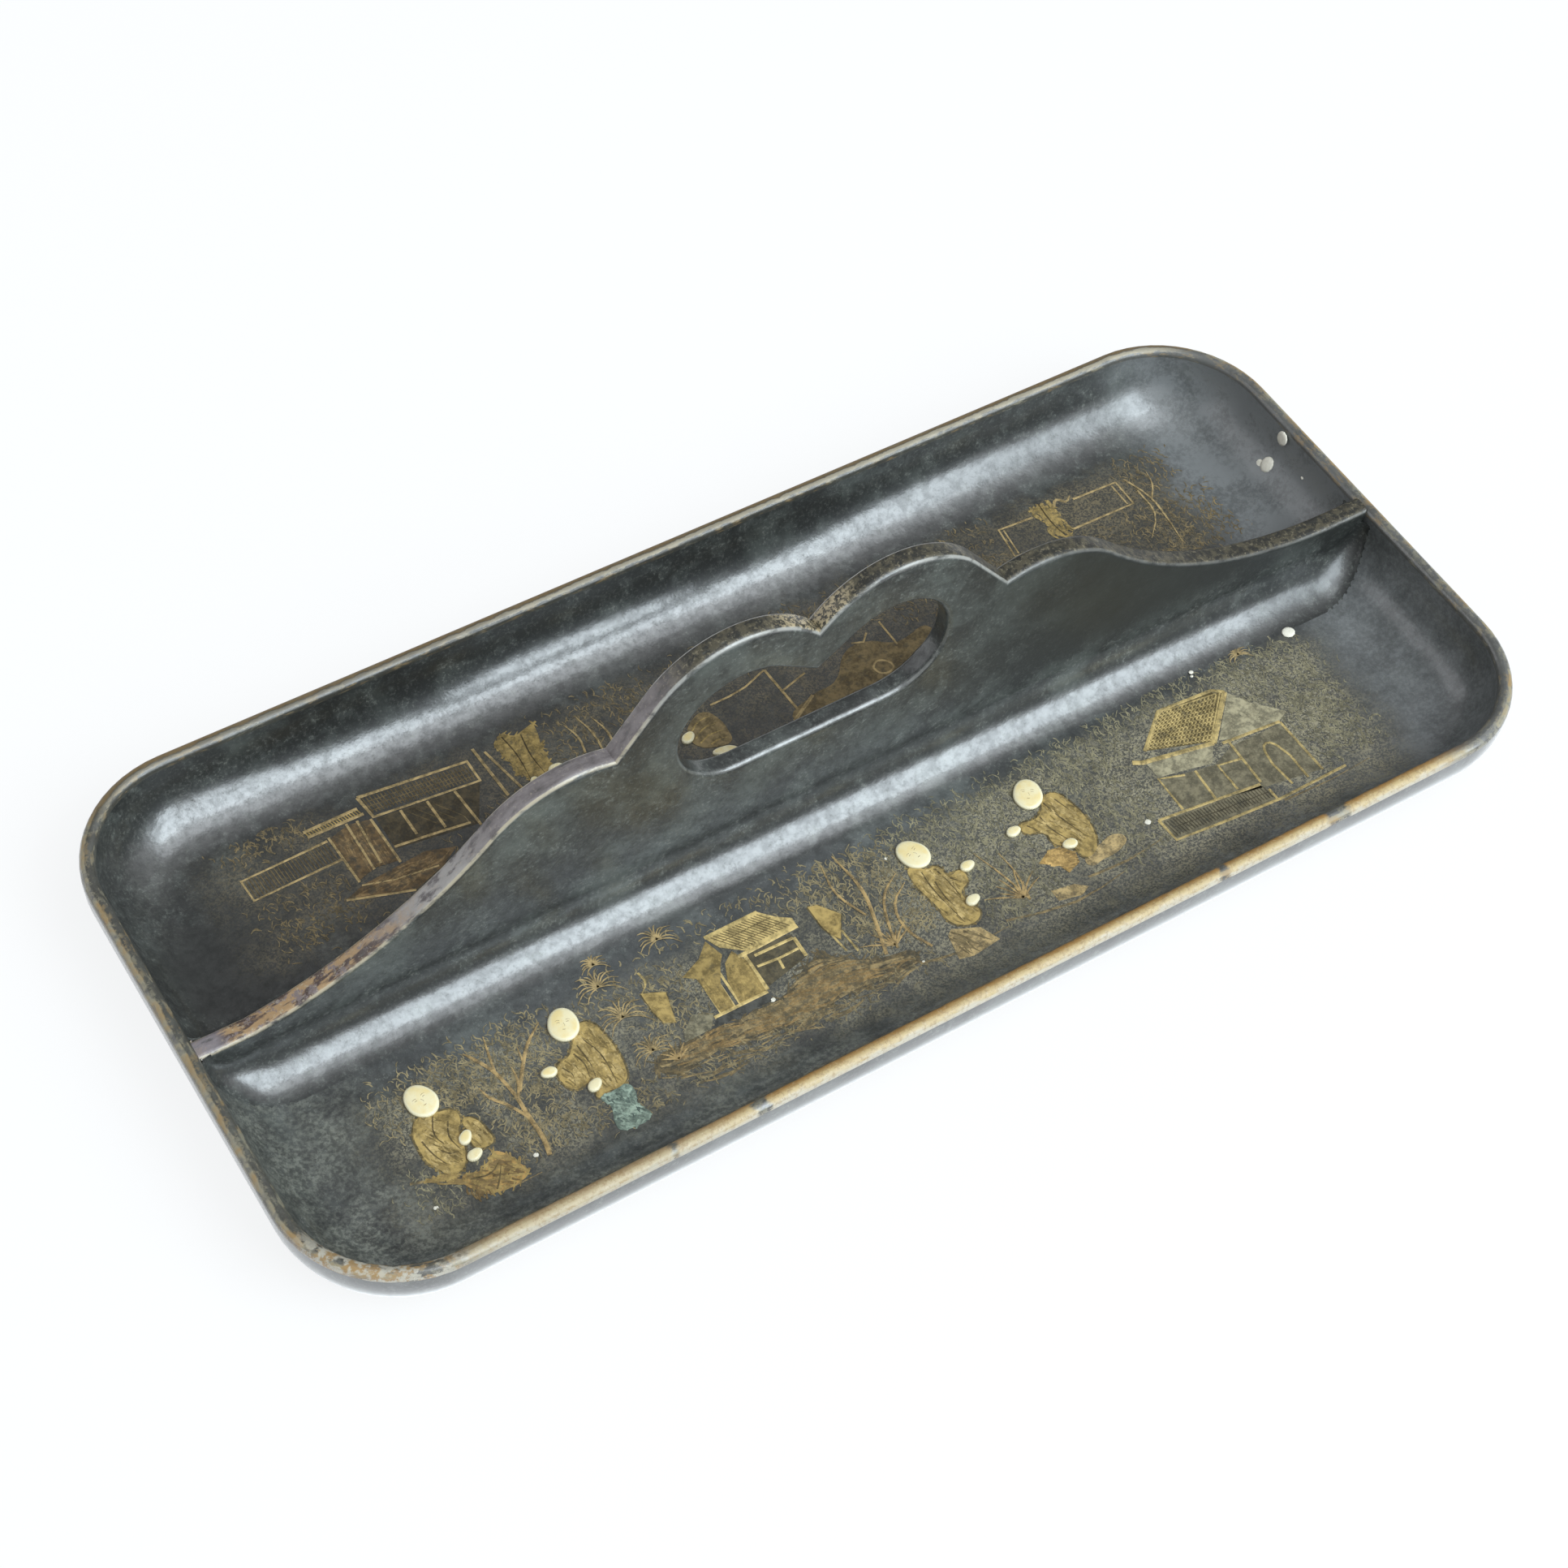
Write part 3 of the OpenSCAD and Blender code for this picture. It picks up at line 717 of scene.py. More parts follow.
class Painting:
    """Collects brush strokes and filled shapes, and lays them on the floor as one thin raised piece."""

    # Millimetres: length of a twig, half the thickness of a filled shape, half the width of a stroke of 1
    twig = 2.0
    sheet = 0.06
    half_stroke = 0.5

    def __init__(self, name, tray, plain=False, thick=0.14):
        self.name = name
        self.look = tray.look
        self.floor_height = tray.sizes.floor
        self.plain = plain
        self.thick = thick
        self.strokes = []
        self.shapes = []

    def line(self, *points, width):
        self.strokes.append((points, width, False, 1.0))

    def brush(self, *points, width, tip=0.35):
        self.strokes.append((points, width, True, tip))

    def shape(self, *points, soft=True):
        self.shapes.append((points, soft))

    def bars(self, first, last, count, width):
        """Evenly spaced lines from the line first to the line last."""
        for i in range(count):
            t = i / (count - 1)
            ends = [[a + (b - a) * t for a, b in zip(p, q)] for p, q in zip(first, last)]
            self.line(*ends, width=width)

    def palm(self, x, y, size):
        """A palm head: narrow leaves that spring out all round and droop."""
        leaves = 13
        for i in range(leaves):
            a = math.radians(-28 + 236 * i / (leaves - 1))
            reach = size * (0.88 + 0.12 * math.cos(2.3 * i))
            bend = (x + 0.58 * reach * math.cos(a), y + reach * (0.62 * math.sin(a) + 0.10))
            tip = (x + reach * math.cos(a), y + reach * (math.sin(a) - 0.16))
            self.brush((x, y), bend, tip, width=0.34)

    def tuft(self, x, y, size, count):
        """A fan of short upright leaves."""
        for i in range(count):
            a = math.radians(28 + 124 * i / (count - 1))
            r = size * (0.75 + 0.25 * math.sin(2.6 * i))
            bend = (x + 0.6 * r * math.cos(a), y + 0.62 * r * math.sin(a))
            tip = (x + r * math.cos(a), y + 0.9 * r * math.sin(a))
            self.brush((x, y), bend, tip, width=0.4)

    def thicket(self, left, low, right, high, count, lean=0.0):
        """Short curved twigs, sown at random over an area with a soft border and leaning to one side."""
        sown = random.Random(count + 7 * left + 13 * low)
        for _ in range(count):
            x = sown.uniform(left, right) + sown.gauss(0, 1.8)
            y = sown.uniform(low, high) + sown.gauss(0, 1.1)
            a = math.radians(90 + lean + sown.uniform(-58, 58))
            curl = sown.uniform(-0.7, 0.7)
            reach = self.twig * sown.uniform(0.5, 1.1)
            middle = (x + 0.55 * reach * math.cos(a), y + 0.55 * reach * math.sin(a))
            tip = (x + reach * math.cos(a + curl), y + reach * math.sin(a + curl))
            self.brush((x, y), middle, tip, width=sown.uniform(0.17, 0.36), tip=0.5)

    def sow(self, outline, count, lean, reach, thin, wide):
        """Short brush strokes at random within an outline, all leaning about the same way."""
        sown = random.Random(count + 10 * outline[0][0])
        left, right = min(p[0] for p in outline), max(p[0] for p in outline)
        low, high = min(p[1] for p in outline), max(p[1] for p in outline)
        made = 0
        tries = 40 * count
        for _ in range(tries):
            if made == count:
                break
            x = sown.uniform(left, right)
            y = sown.uniform(low, high)
            a = math.radians(lean + sown.uniform(-16, 16))
            half = reach * sown.uniform(0.3, 0.6)
            bow = sown.uniform(-0.25, 0.25) * half
            wide_now = sown.uniform(thin, wide)
            ends = [(x + way * half * math.cos(a), y + way * half * math.sin(a)) for way in (-1, 1)]
            if all(self.covers(outline, p) for p in ends):
                middle = (x - bow * math.sin(a), y + bow * math.cos(a))
                self.brush(ends[0], middle, ends[1], width=wide_now, tip=0.4)
                made += 1

    def fray(self, outline, count, reach):
        """Short strokes across an outline, so that its edge looks brushed."""
        sown = random.Random(count + 17 * outline[0][1])
        for _ in range(count):
            place = sown.uniform(0, len(outline))
            k = int(place) % len(outline)
            (ax, ay), (bx, by) = outline[k], outline[(k + 1) % len(outline)]
            x, y = ax + (bx - ax) * (place % 1), ay + (by - ay) * (place % 1)
            a = math.atan2(by - ay, bx - ax) + math.radians(sown.uniform(15, 60)) * sown.choice((-1, 1))
            half = reach * sown.uniform(0.3, 0.7)
            ends = [(x + way * half * math.cos(a), y + way * half * math.sin(a)) for way in (-1, 1)]
            self.brush(ends[0], (x, y), ends[1], width=sown.uniform(0.3, 0.6), tip=0.3)

    def covers(self, outline, point):
        """True where the point lies within the outline."""
        x, y = point
        inside = False
        for (ax, ay), (bx, by) in zip(outline, outline[1:] + outline[:1]):
            if (ay > y) != (by > y) and x < ax + (y - ay) * (bx - ax) / (by - ay):
                inside = not inside
        return inside

    def ring(self, outline, width, soft=True):
        """A line all round an outline."""
        self.strokes.append((outline + outline[:1], width, soft, 1.0))

    def paint(self, name, tone, worn, under=None, lift=0.05):
        """Lays the layer in paint of one tone, worn through to the colour under it."""
        self.lay(paint_material(name, self.look, tone, worn, under), lift)

    def lay(self, material, lift):
        """Makes the layer one piece, at a small height above the floor."""
        pieces = []
        if self.shapes:
            pieces.append(self.filled())
        if self.strokes:
            pieces.append(self.stroked())
        only(pieces[0])
        for piece in pieces:
            piece.select_set(True)
        if len(pieces) > 1:
            bpy.ops.object.join()
        obj = bpy.context.object
        obj.location = (0, 0, self.floor_height + lift * MM)
        done(obj, self.name, 40)
        finish_piece(obj, "shell_lacquer", material)

    def blank_curve(self, flat):
        """An empty curve, finer for filled shapes than for strokes."""
        start_clean()
        bpy.ops.curve.primitive_bezier_curve_add(location=(0, 0, 0))
        obj = bpy.context.object
        obj.data.splines.clear()
        obj.data.dimensions = "2D" if flat else "3D"
        obj.data.resolution_u = 6 if flat else 2 if self.plain else 3
        return obj

    def spline(self, curve, points, soft):
        made = curve.splines.new("BEZIER")
        made.bezier_points.add(len(points) - 1)
        for knot, place in zip(made.bezier_points, points):
            knot.co = (place[0] * MM, place[1] * MM, 0)
            knot.handle_left_type = knot.handle_right_type = "AUTO" if soft else "VECTOR"
        return made

    def to_mesh(self, obj):
        only(obj)
        bpy.ops.object.convert(target="MESH")
        return bpy.context.object

    def filled(self):
        """All shapes of the layer, as one thin sheet."""
        obj = self.blank_curve(True)
        curve = obj.data
        curve.fill_mode = "BOTH"
        curve.extrude = self.sheet * MM
        for points, soft in self.shapes:
            self.spline(curve, points, soft).use_cyclic_u = True
        return self.to_mesh(obj)

    def stroked(self):
        """All strokes of the layer, flattened to the thickness of paint."""
        obj = self.blank_curve(False)
        curve = obj.data
        curve.bevel_depth = self.half_stroke * MM
        curve.bevel_resolution = 0 if self.plain else 1
        curve.use_fill_caps = True
        for points, width, soft, tip in self.strokes:
            knots = self.spline(curve, points, soft).bezier_points
            for knot in knots:
                knot.radius = width
            knots[-1].radius = width * tip
        obj = self.to_mesh(obj)
        only(obj)
        bpy.ops.object.mode_set(mode="EDIT")
        bpy.ops.mesh.select_all(action="SELECT")
        bpy.ops.transform.resize(value=(1, 1, self.thick), center_override=(0, 0, 0))
        bpy.ops.object.mode_set(mode="OBJECT")
        return obj


# Operators

class PENTRAY_OT_shell(bpy.types.Operator):
    """Make the coved shell: an outer and an inner pan, bridged and rounded at the rim"""
    bl_idname = "pentray.shell"
    bl_label = "Tray shell"

    turn_segments = 14
    rim_segments = 6

    # Just under half of the wall, so that the two rounded edges of the rim do not meet
    rim_share = 0.495

    # A face counts as outside by how far it looks outwards, or down but not straight down
    outward_from = 0.85
    down_range = (-0.9, -0.2)

    def pan(self, half_length, half_width, bottom, top, corner, turn):
        start_clean()
        middle = (bottom + top) / 2
        bpy.ops.mesh.primitive_cube_add(size=1, location=(0, 0, middle))
        obj = bpy.context.object
        obj.scale = (2 * half_length, 2 * half_width, top - bottom)
        bpy.ops.object.transform_apply(location=True, rotation=True, scale=True)
        pick(obj, "EDGE", lambda ends: abs(ends[0].z - ends[1].z) > NEAR)
        round_edges(corner, self.turn_segments)
        pick(obj, "EDGE", lambda ends: max(ends[0].z, ends[1].z) < bottom + NEAR)
        round_edges(turn, self.turn_segments)
        pick(obj, "FACE", lambda corners: min(c.z for c in corners) > top - NEAR)
        bpy.ops.mesh.delete(type="FACE")
        bpy.ops.object.mode_set(mode="OBJECT")
        return obj

    def execute(self, context):
        tray = context.scene.pen_tray
        s = tray.sizes
        outer = self.pan(s.tray_length / 2, s.tray_width / 2, 0.0, s.rim_height, s.corner_radius, s.turn)
        inner = self.pan(s.tray_length / 2 - s.wall, s.tray_width / 2 - s.wall, s.floor, s.rim_height,
                         s.corner_radius - s.wall, s.cove)
        pick(inner, "FACE", lambda corners: True)
        bpy.ops.mesh.flip_normals()
        only(outer)
        inner.select_set(True)
        bpy.ops.object.join()
        pick(outer, "EDGE", lambda ends: min(ends[0].z, ends[1].z) > s.rim_height - NEAR)
        bpy.ops.mesh.bridge_edge_loops()
        pick(outer, "EDGE", lambda ends: min(ends[0].z, ends[1].z) > s.rim_height - NEAR
             and (ends[0] - ends[1]).length > 0 and self.along_rim(ends, s))
        round_edges(s.wall * self.rim_share, self.rim_segments)
        bpy.ops.object.mode_set(mode="OBJECT")
        shell = done(outer, "shell_lacquered")
        apply_modifier(shell, "WEIGHTED_NORMAL", mode="FACE_AREA", weight=60)
        within = shell_material(tray.look, "shell_black_lacquer", shine=1.5, bloom=0.0)
        finish_piece(shell, "shell_lacquer", within, "tray_shell")
        outside = shell_material(tray.look, "shell_outside_lacquer", shine=2.1, bloom=1.0)
        shell.data.materials.append(outside)
        low, high = self.down_range
        for face in shell.data.polygons:
            place, normal = face.center, face.normal
            outward = 2 * (normal.x * place.x / s.tray_length + normal.y * place.y / s.tray_width)
            is_outside = outward > self.outward_from or low < normal.z < high
            face.material_index = 1 if is_outside else 0
        return {"FINISHED"}

    def along_rim(self, ends, s):
        """True for an edge that runs round the rim, false for one that crosses it."""
        def outside(p):
            x = max(abs(p.x) - (s.tray_length / 2 - s.corner_radius), 0.0)
            y = max(abs(p.y) - (s.tray_width / 2 - s.corner_radius), 0.0)
            return math.hypot(x, y) if x and y else max(x, y)
        return abs(outside(ends[0]) - outside(ends[1])) < s.wall / 2


class PENTRAY_OT_board(bpy.types.Operator):
    """Make the handle board from its scalloped outline and its heart-shaped hole"""
    bl_idname = "pentray.board"
    bl_label = "Handle board"

    # Millimetres: the scallop's shift to the left, then middles and radii of its arcs
    shift = -5.0
    lean = math.radians(0.8)
    lobe = (19.0, 30.8, 24.5)
    shoulder = (56.0, 7.6, 28.0)
    cusp = (47.4, 34.25)
    sweep_radius = 100.0
    sweep_turn = math.radians(45)
    hole = (17.8, 28.4, 14.8)
    hole_point = 34.0

    # How far the edge runs on past its sweep, and how far the board sinks into the shell
    run_out = 30.0
    sunk = 0.6

    def arc(self, centre, radius, start, stop, count):
        turns = [start + (stop - start) * i / count for i in range(count + 1)]
        return [(centre[0] + radius * math.cos(a), centre[1] + radius * math.sin(a)) for a in turns]

    def touch(self, centre, radius, point):
        """Angle at which a line from the point touches the circle, on its upper right side."""
        gap = math.hypot(point[0] - centre[0], point[1] - centre[1])
        return math.atan2(point[1] - centre[1], point[0] - centre[0]) + math.acos(radius / gap)

    def right_edge(self):
        """Edge from the notch in the middle, over the lobe and the shoulder, down the sweep to the end."""
        x, y, r = self.lobe
        notch = math.acos(-x / r)
        points = self.arc((x, y), r, notch, self.touch((x, y), r, self.cusp), 26)
        x, y, r = self.shoulder
        first = math.atan2(self.cusp[1] - y, self.cusp[0] - x)
        points += self.arc((x, y), r, first, math.pi / 2 - self.sweep_turn, 14)
        reach = r + self.sweep_radius
        centre = (x + reach * math.sin(self.sweep_turn), y + reach * math.cos(self.sweep_turn))
        points += self.arc(centre, self.sweep_radius, 1.5 * math.pi - self.sweep_turn, 1.5 * math.pi,
                           24)[1:]
        points.append((points[-1][0] + self.run_out, points[-1][1]))
        return points

    def placed(self, point, rim):
        """Place of a point of the leaning scallop."""
        c, s = math.cos(self.lean), math.sin(self.lean)
        return (self.shift + point[0] * c - point[1] * s, rim + point[0] * s + point[1] * c)

    def outline(self, s):
        rim, reach = s.rim_height / MM, (s.tray_length / 2 - s.wall) / MM + self.sunk
        floor, cove = s.floor / MM - self.sunk, s.cove / MM
        right = self.right_edge()
        left = [(-x, y) for x, y in reversed(right)]
        top = [self.placed(p, rim) for p in left[:-1] + right]
        low = rim - s.end_drop / MM
        top = [(x, max(z, low)) for x, z in top if abs(x) < reach]
        top = [(-reach, top[0][1])] + top + [(reach, top[-1][1])]
        foot = self.arc((reach - cove, floor + cove), cove, 0.0, -math.pi / 2, 8)
        return top + foot + [(-x, z) for x, z in reversed(foot)]

    def hand_hole(self, s):
        rim = s.rim_height / MM
        x, y, r = self.hole
        side = math.pi - self.touch((-x, y), r, (0.0, self.hole_point))
        right = self.arc((x, y), r, -math.pi / 2, side, 30)
        heart = right + [(0.0, self.hole_point)] + [(-px, py) for px, py in reversed(right)]
        return [self.placed(p, rim) for p in heart]

    def execute(self, context):
        tray = context.scene.pen_tray
        s = tray.sizes
        start_clean()
        bpy.ops.curve.primitive_bezier_curve_add(location=(0, 0, 0))
        obj = bpy.context.object
        curve = obj.data
        curve.splines.clear()
        curve.dimensions = "2D"
        curve.fill_mode = "BOTH"
        curve.extrude = s.board / 2 - s.board_edge
        curve.bevel_depth = s.board_edge
        curve.bevel_resolution = 3
        curve.offset = -s.board_edge
        for loop in (self.outline(s), self.hand_hole(s)):
            spline = curve.splines.new("POLY")
            spline.points.add(len(loop) - 1)
            for point, place in zip(spline.points, loop):
                point.co = (place[0] * MM, place[1] * MM, 0, 1)
            spline.use_cyclic_u = True
        only(obj)
        bpy.ops.object.convert(target="MESH")
        board = bpy.context.object
        board.rotation_euler = (math.pi / 2, 0, 0)
        done(board, "handle_board_lacquered", 35)
        pick(board, "VERT", lambda points: True)
        bpy.ops.mesh.remove_doubles(threshold=NEAR)
        bpy.ops.mesh.normals_make_consistent(inside=False)
        bpy.ops.object.mode_set(mode="OBJECT")
        apply_modifier(board, "WEIGHTED_NORMAL", mode="FACE_AREA", weight=60, keep_sharp=True)
        finish_piece(board, "board_lacquer", board_material(tray.look), "handle_divider")
        return {"FINISHED"}


class PENTRAY_OT_fillets(bpy.types.Operator):
    """Make the hollow fillets at the board's foot: a straight run and a climb up each end wall"""
    bl_idname = "pentray.fillets"
    bl_label = "Foot fillets"

    circle_points = 120
    climb_steps = 22
    climb_turn = math.radians(86)
    skin = 0.5 * MM

    def execute(self, context):
        tray = context.scene.pen_tray
        s = tray.sizes
        material = fillet_material(tray.look)
        for side, node_name in ((-1, "front_cove_fillet"), (1, "rear_cove_fillet")):
            obj = self.strip(s, side)
            name = node_name.replace("cove_fillet", "fillet_lacquered")
            done(obj, name, 40)
            finish_piece(obj, "fillet_lacquer", material, node_name)
        return {"FINISHED"}

    def strip(self, s, side):
        reach = s.tray_length / 2 - s.wall - s.cove
        centre = Vector((reach, side * (s.board / 2 + s.fillet), s.floor + s.fillet))
        start_clean()
        bpy.ops.mesh.primitive_circle_add(vertices=self.circle_points, radius=s.fillet, location=centre,
                                          rotation=(0, math.pi / 2, 0))
        obj = bpy.context.object
        bpy.ops.object.transform_apply(location=True, rotation=True, scale=True)
        spare = 0.15 * MM
        pick(obj, "VERT", lambda p: side * (p[0].y - centre.y) > spare or p[0].z > centre.z + spare)
        bpy.ops.mesh.delete(type="VERT")
        bpy.ops.mesh.select_all(action="SELECT")
        bpy.ops.mesh.extrude_region_move(TRANSFORM_OT_translate={"value": (-2 * reach, 0, 0)})
        for end in (1, -1):
            pick(obj, "VERT", lambda p: end * p[0].x > reach - NEAR)
            self.climb(s, side, end, reach)
        bpy.ops.object.mode_set(mode="OBJECT")
        self.face_out(obj, side)
        apply_modifier(obj, "SOLIDIFY", thickness=self.skin, offset=-1.0)
        return obj

    def climb(self, s, side, end, reach):
        """Carries the selected end of the fillet up the cove of the end wall and narrows it to its tip."""
        steps, top = self.climb_steps, self.climb_turn
        axis_height = s.floor + s.cove
        for i in range(steps):
            turn = top * (i + 1) / steps
            share = math.sin(turn) ** 2
            last_share = math.sin(top * i / steps) ** 2
            size = s.fillet + (s.fillet_tip - s.fillet) * share
            last_size = s.fillet + (s.fillet_tip - s.fillet) * last_share
            foot = (end * (reach + s.cove * math.sin(turn)), side * s.board / 2,
                    axis_height - s.cove * math.cos(turn))
            shrink = size / last_size
            bpy.ops.mesh.extrude_region_move()
            bpy.ops.transform.rotate(value=end * top / steps, orient_axis="Y",
                                     center_override=(end * reach, 0, axis_height))
            bpy.ops.transform.resize(value=(shrink, shrink, shrink), center_override=foot)

    def face_out(self, obj, side):
        """Turns the faces so that they look into the trough."""
        total = Vector((0, 0, 0))
        for face in obj.data.polygons:
            total += face.normal * face.area
        if total.y * side < 0:
            pick(obj, "FACE", lambda p: True)
            bpy.ops.mesh.flip_normals()
            bpy.ops.object.mode_set(mode="OBJECT")


class PENTRAY_OT_plaques(bpy.types.Operator):
    """Make the bone faces and hands on the trough floors"""
    bl_idname = "pentray.plaques"
    bl_label = "Bone plaques"

    # Turn of each face and hand, in degrees
    faces = {"seated": 13, "stooping": -18, "standing": 26, "bowing": -27, "kneeling": 0}
    hands = {"seated_figure_upper_hand": -47, "seated_figure_lower_hand": -74,
             "stooping_figure_far_hand": 83, "stooping_figure_near_hand": -64,
             "standing_figure_upper_hand": -84, "standing_figure_lower_hand": -78,
             "bowing_figure_far_hand": -85, "bowing_figure_near_hand": 80,
             "kneeling_figure_left_hand": -62, "kneeling_figure_right_hand": 72,
             "caped_figure_upper_hand": -82, "caped_figure_lower_hand": 0}

    # Width and height in millimetres, and the share by which the top is narrower
    face_size = (6.6, 8.1, 0.06)
    hand_size = (2.5, 3.6, 0.12)
    long_hand_size = (2.5, 6.0, 0.12)
    long_hand = "kneeling_figure_right_hand"

    # Share of the thickness below the dome, and the width left and the rise of each step of the dome
    side_share = 0.55
    dome = ((0.93, 0.20), (0.86, 0.12), (0.78, 0.08), (0.68, 0.05))

    def blank(self, wide, high, thick, taper):
        """One plaque at the origin: a disc drawn out, domed and rounded over."""
        start_clean()
        lift = thick * self.side_share / 2
        bpy.ops.mesh.primitive_cylinder_add(vertices=40, radius=0.5, depth=1.0, location=(0, 0, lift))
        obj = bpy.context.object
        obj.scale = (wide, high, 2 * lift)
        bpy.ops.object.transform_apply(location=True, rotation=True, scale=True)
        top = thick * self.side_share - NEAR / 10
        pick(obj, "FACE", lambda corners: min(c.z for c in corners) > top)
        for width_left, rise in self.dome:
            bpy.ops.mesh.extrude_region_move(TRANSFORM_OT_translate={"value": (0, 0, rise * thick)})
            bpy.ops.transform.resize(value=(width_left, width_left, 1), center_override=(0, 0, 0))
        bpy.ops.mesh.poke()
        for side in (-1, 1):
            pick(obj, "VERT", lambda p: side * p[0].y > 0.2 * high)
            narrow = 1.0 - side * taper / 2
            bpy.ops.transform.resize(value=(narrow, 1, 1), center_override=(0, 0, 0),
                                     use_proportional_edit=True, proportional_edit_falloff="SMOOTH",
                                     proportional_size=0.4 * high)
        bpy.ops.object.mode_set(mode="OBJECT")
        return obj

    def execute(self, context):
        tray = context.scene.pen_tray
        s = tray.sizes
        material = bone_material(tray.look)
        ink = Painting("face_ink_lines", tray, thick=0.7)
        plan = [(figure + "_figure_face", turn, self.face_size) for figure, turn in self.faces.items()]
        plan += [(name, turn, self.long_hand_size if name == self.long_hand else self.hand_size)
                 for name, turn in self.hands.items()]
        for node_name, turn, (wide, high, taper) in plan:
            low, high_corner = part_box(node_name)
            obj = self.blank(wide * MM, high * MM, s.bone, taper)
            middle = [(a + b) / 2 for a, b in zip(low, high_corner)]
            obj.location = (middle[0], middle[1], s.floor)
            obj.rotation_euler = (0, 0, math.radians(turn))
            done(obj, node_name.replace("_figure", "") + "_bone")
            finish_piece(obj, "bone", material, node_name)
            if node_name.endswith("_face"):
                self.features(ink, middle, math.radians(turn))
        sunk = 0.03
        ink.lay(ink_material(), lift=s.bone / MM - sunk)
        return {"FINISHED"}

    def features(self, ink, middle, turn):
        """Calm lines for eyes, nose and mouth, drawn the same on every face."""
        c, s = math.cos(turn), math.sin(turn)

        def at(x, y):
            return (middle[0] / MM + x * c - y * s, middle[1] / MM + x * s + y * c)
        for side in (-1, 1):
            ink.brush(at(side * 0.65, 0.75), at(side * 1.1, 0.85), at(side * 1.6, 0.72), width=0.16)
            ink.brush(at(side * 0.7, 0.25), at(side * 1.1, 0.32), at(side * 1.45, 0.22), width=0.18)
        ink.brush(at(0.05, 0.1), at(0.22, -0.7), at(-0.05, -0.82), width=0.13)
        ink.brush(at(-0.4, -1.45), at(0.0, -1.52), at(0.4, -1.45), width=0.2)


class PaintedFloor:
    """What the two painted floors share: the colours, and layers that are named after the side."""

    def execute(self, context):
        self.tray = context.scene.pen_tray
        self.look = self.tray.look
        self.paint_all()
        return {"FINISHED"}

    def layer(self, name, plain=False):
        return Painting(self.side + name, self.tray, plain)


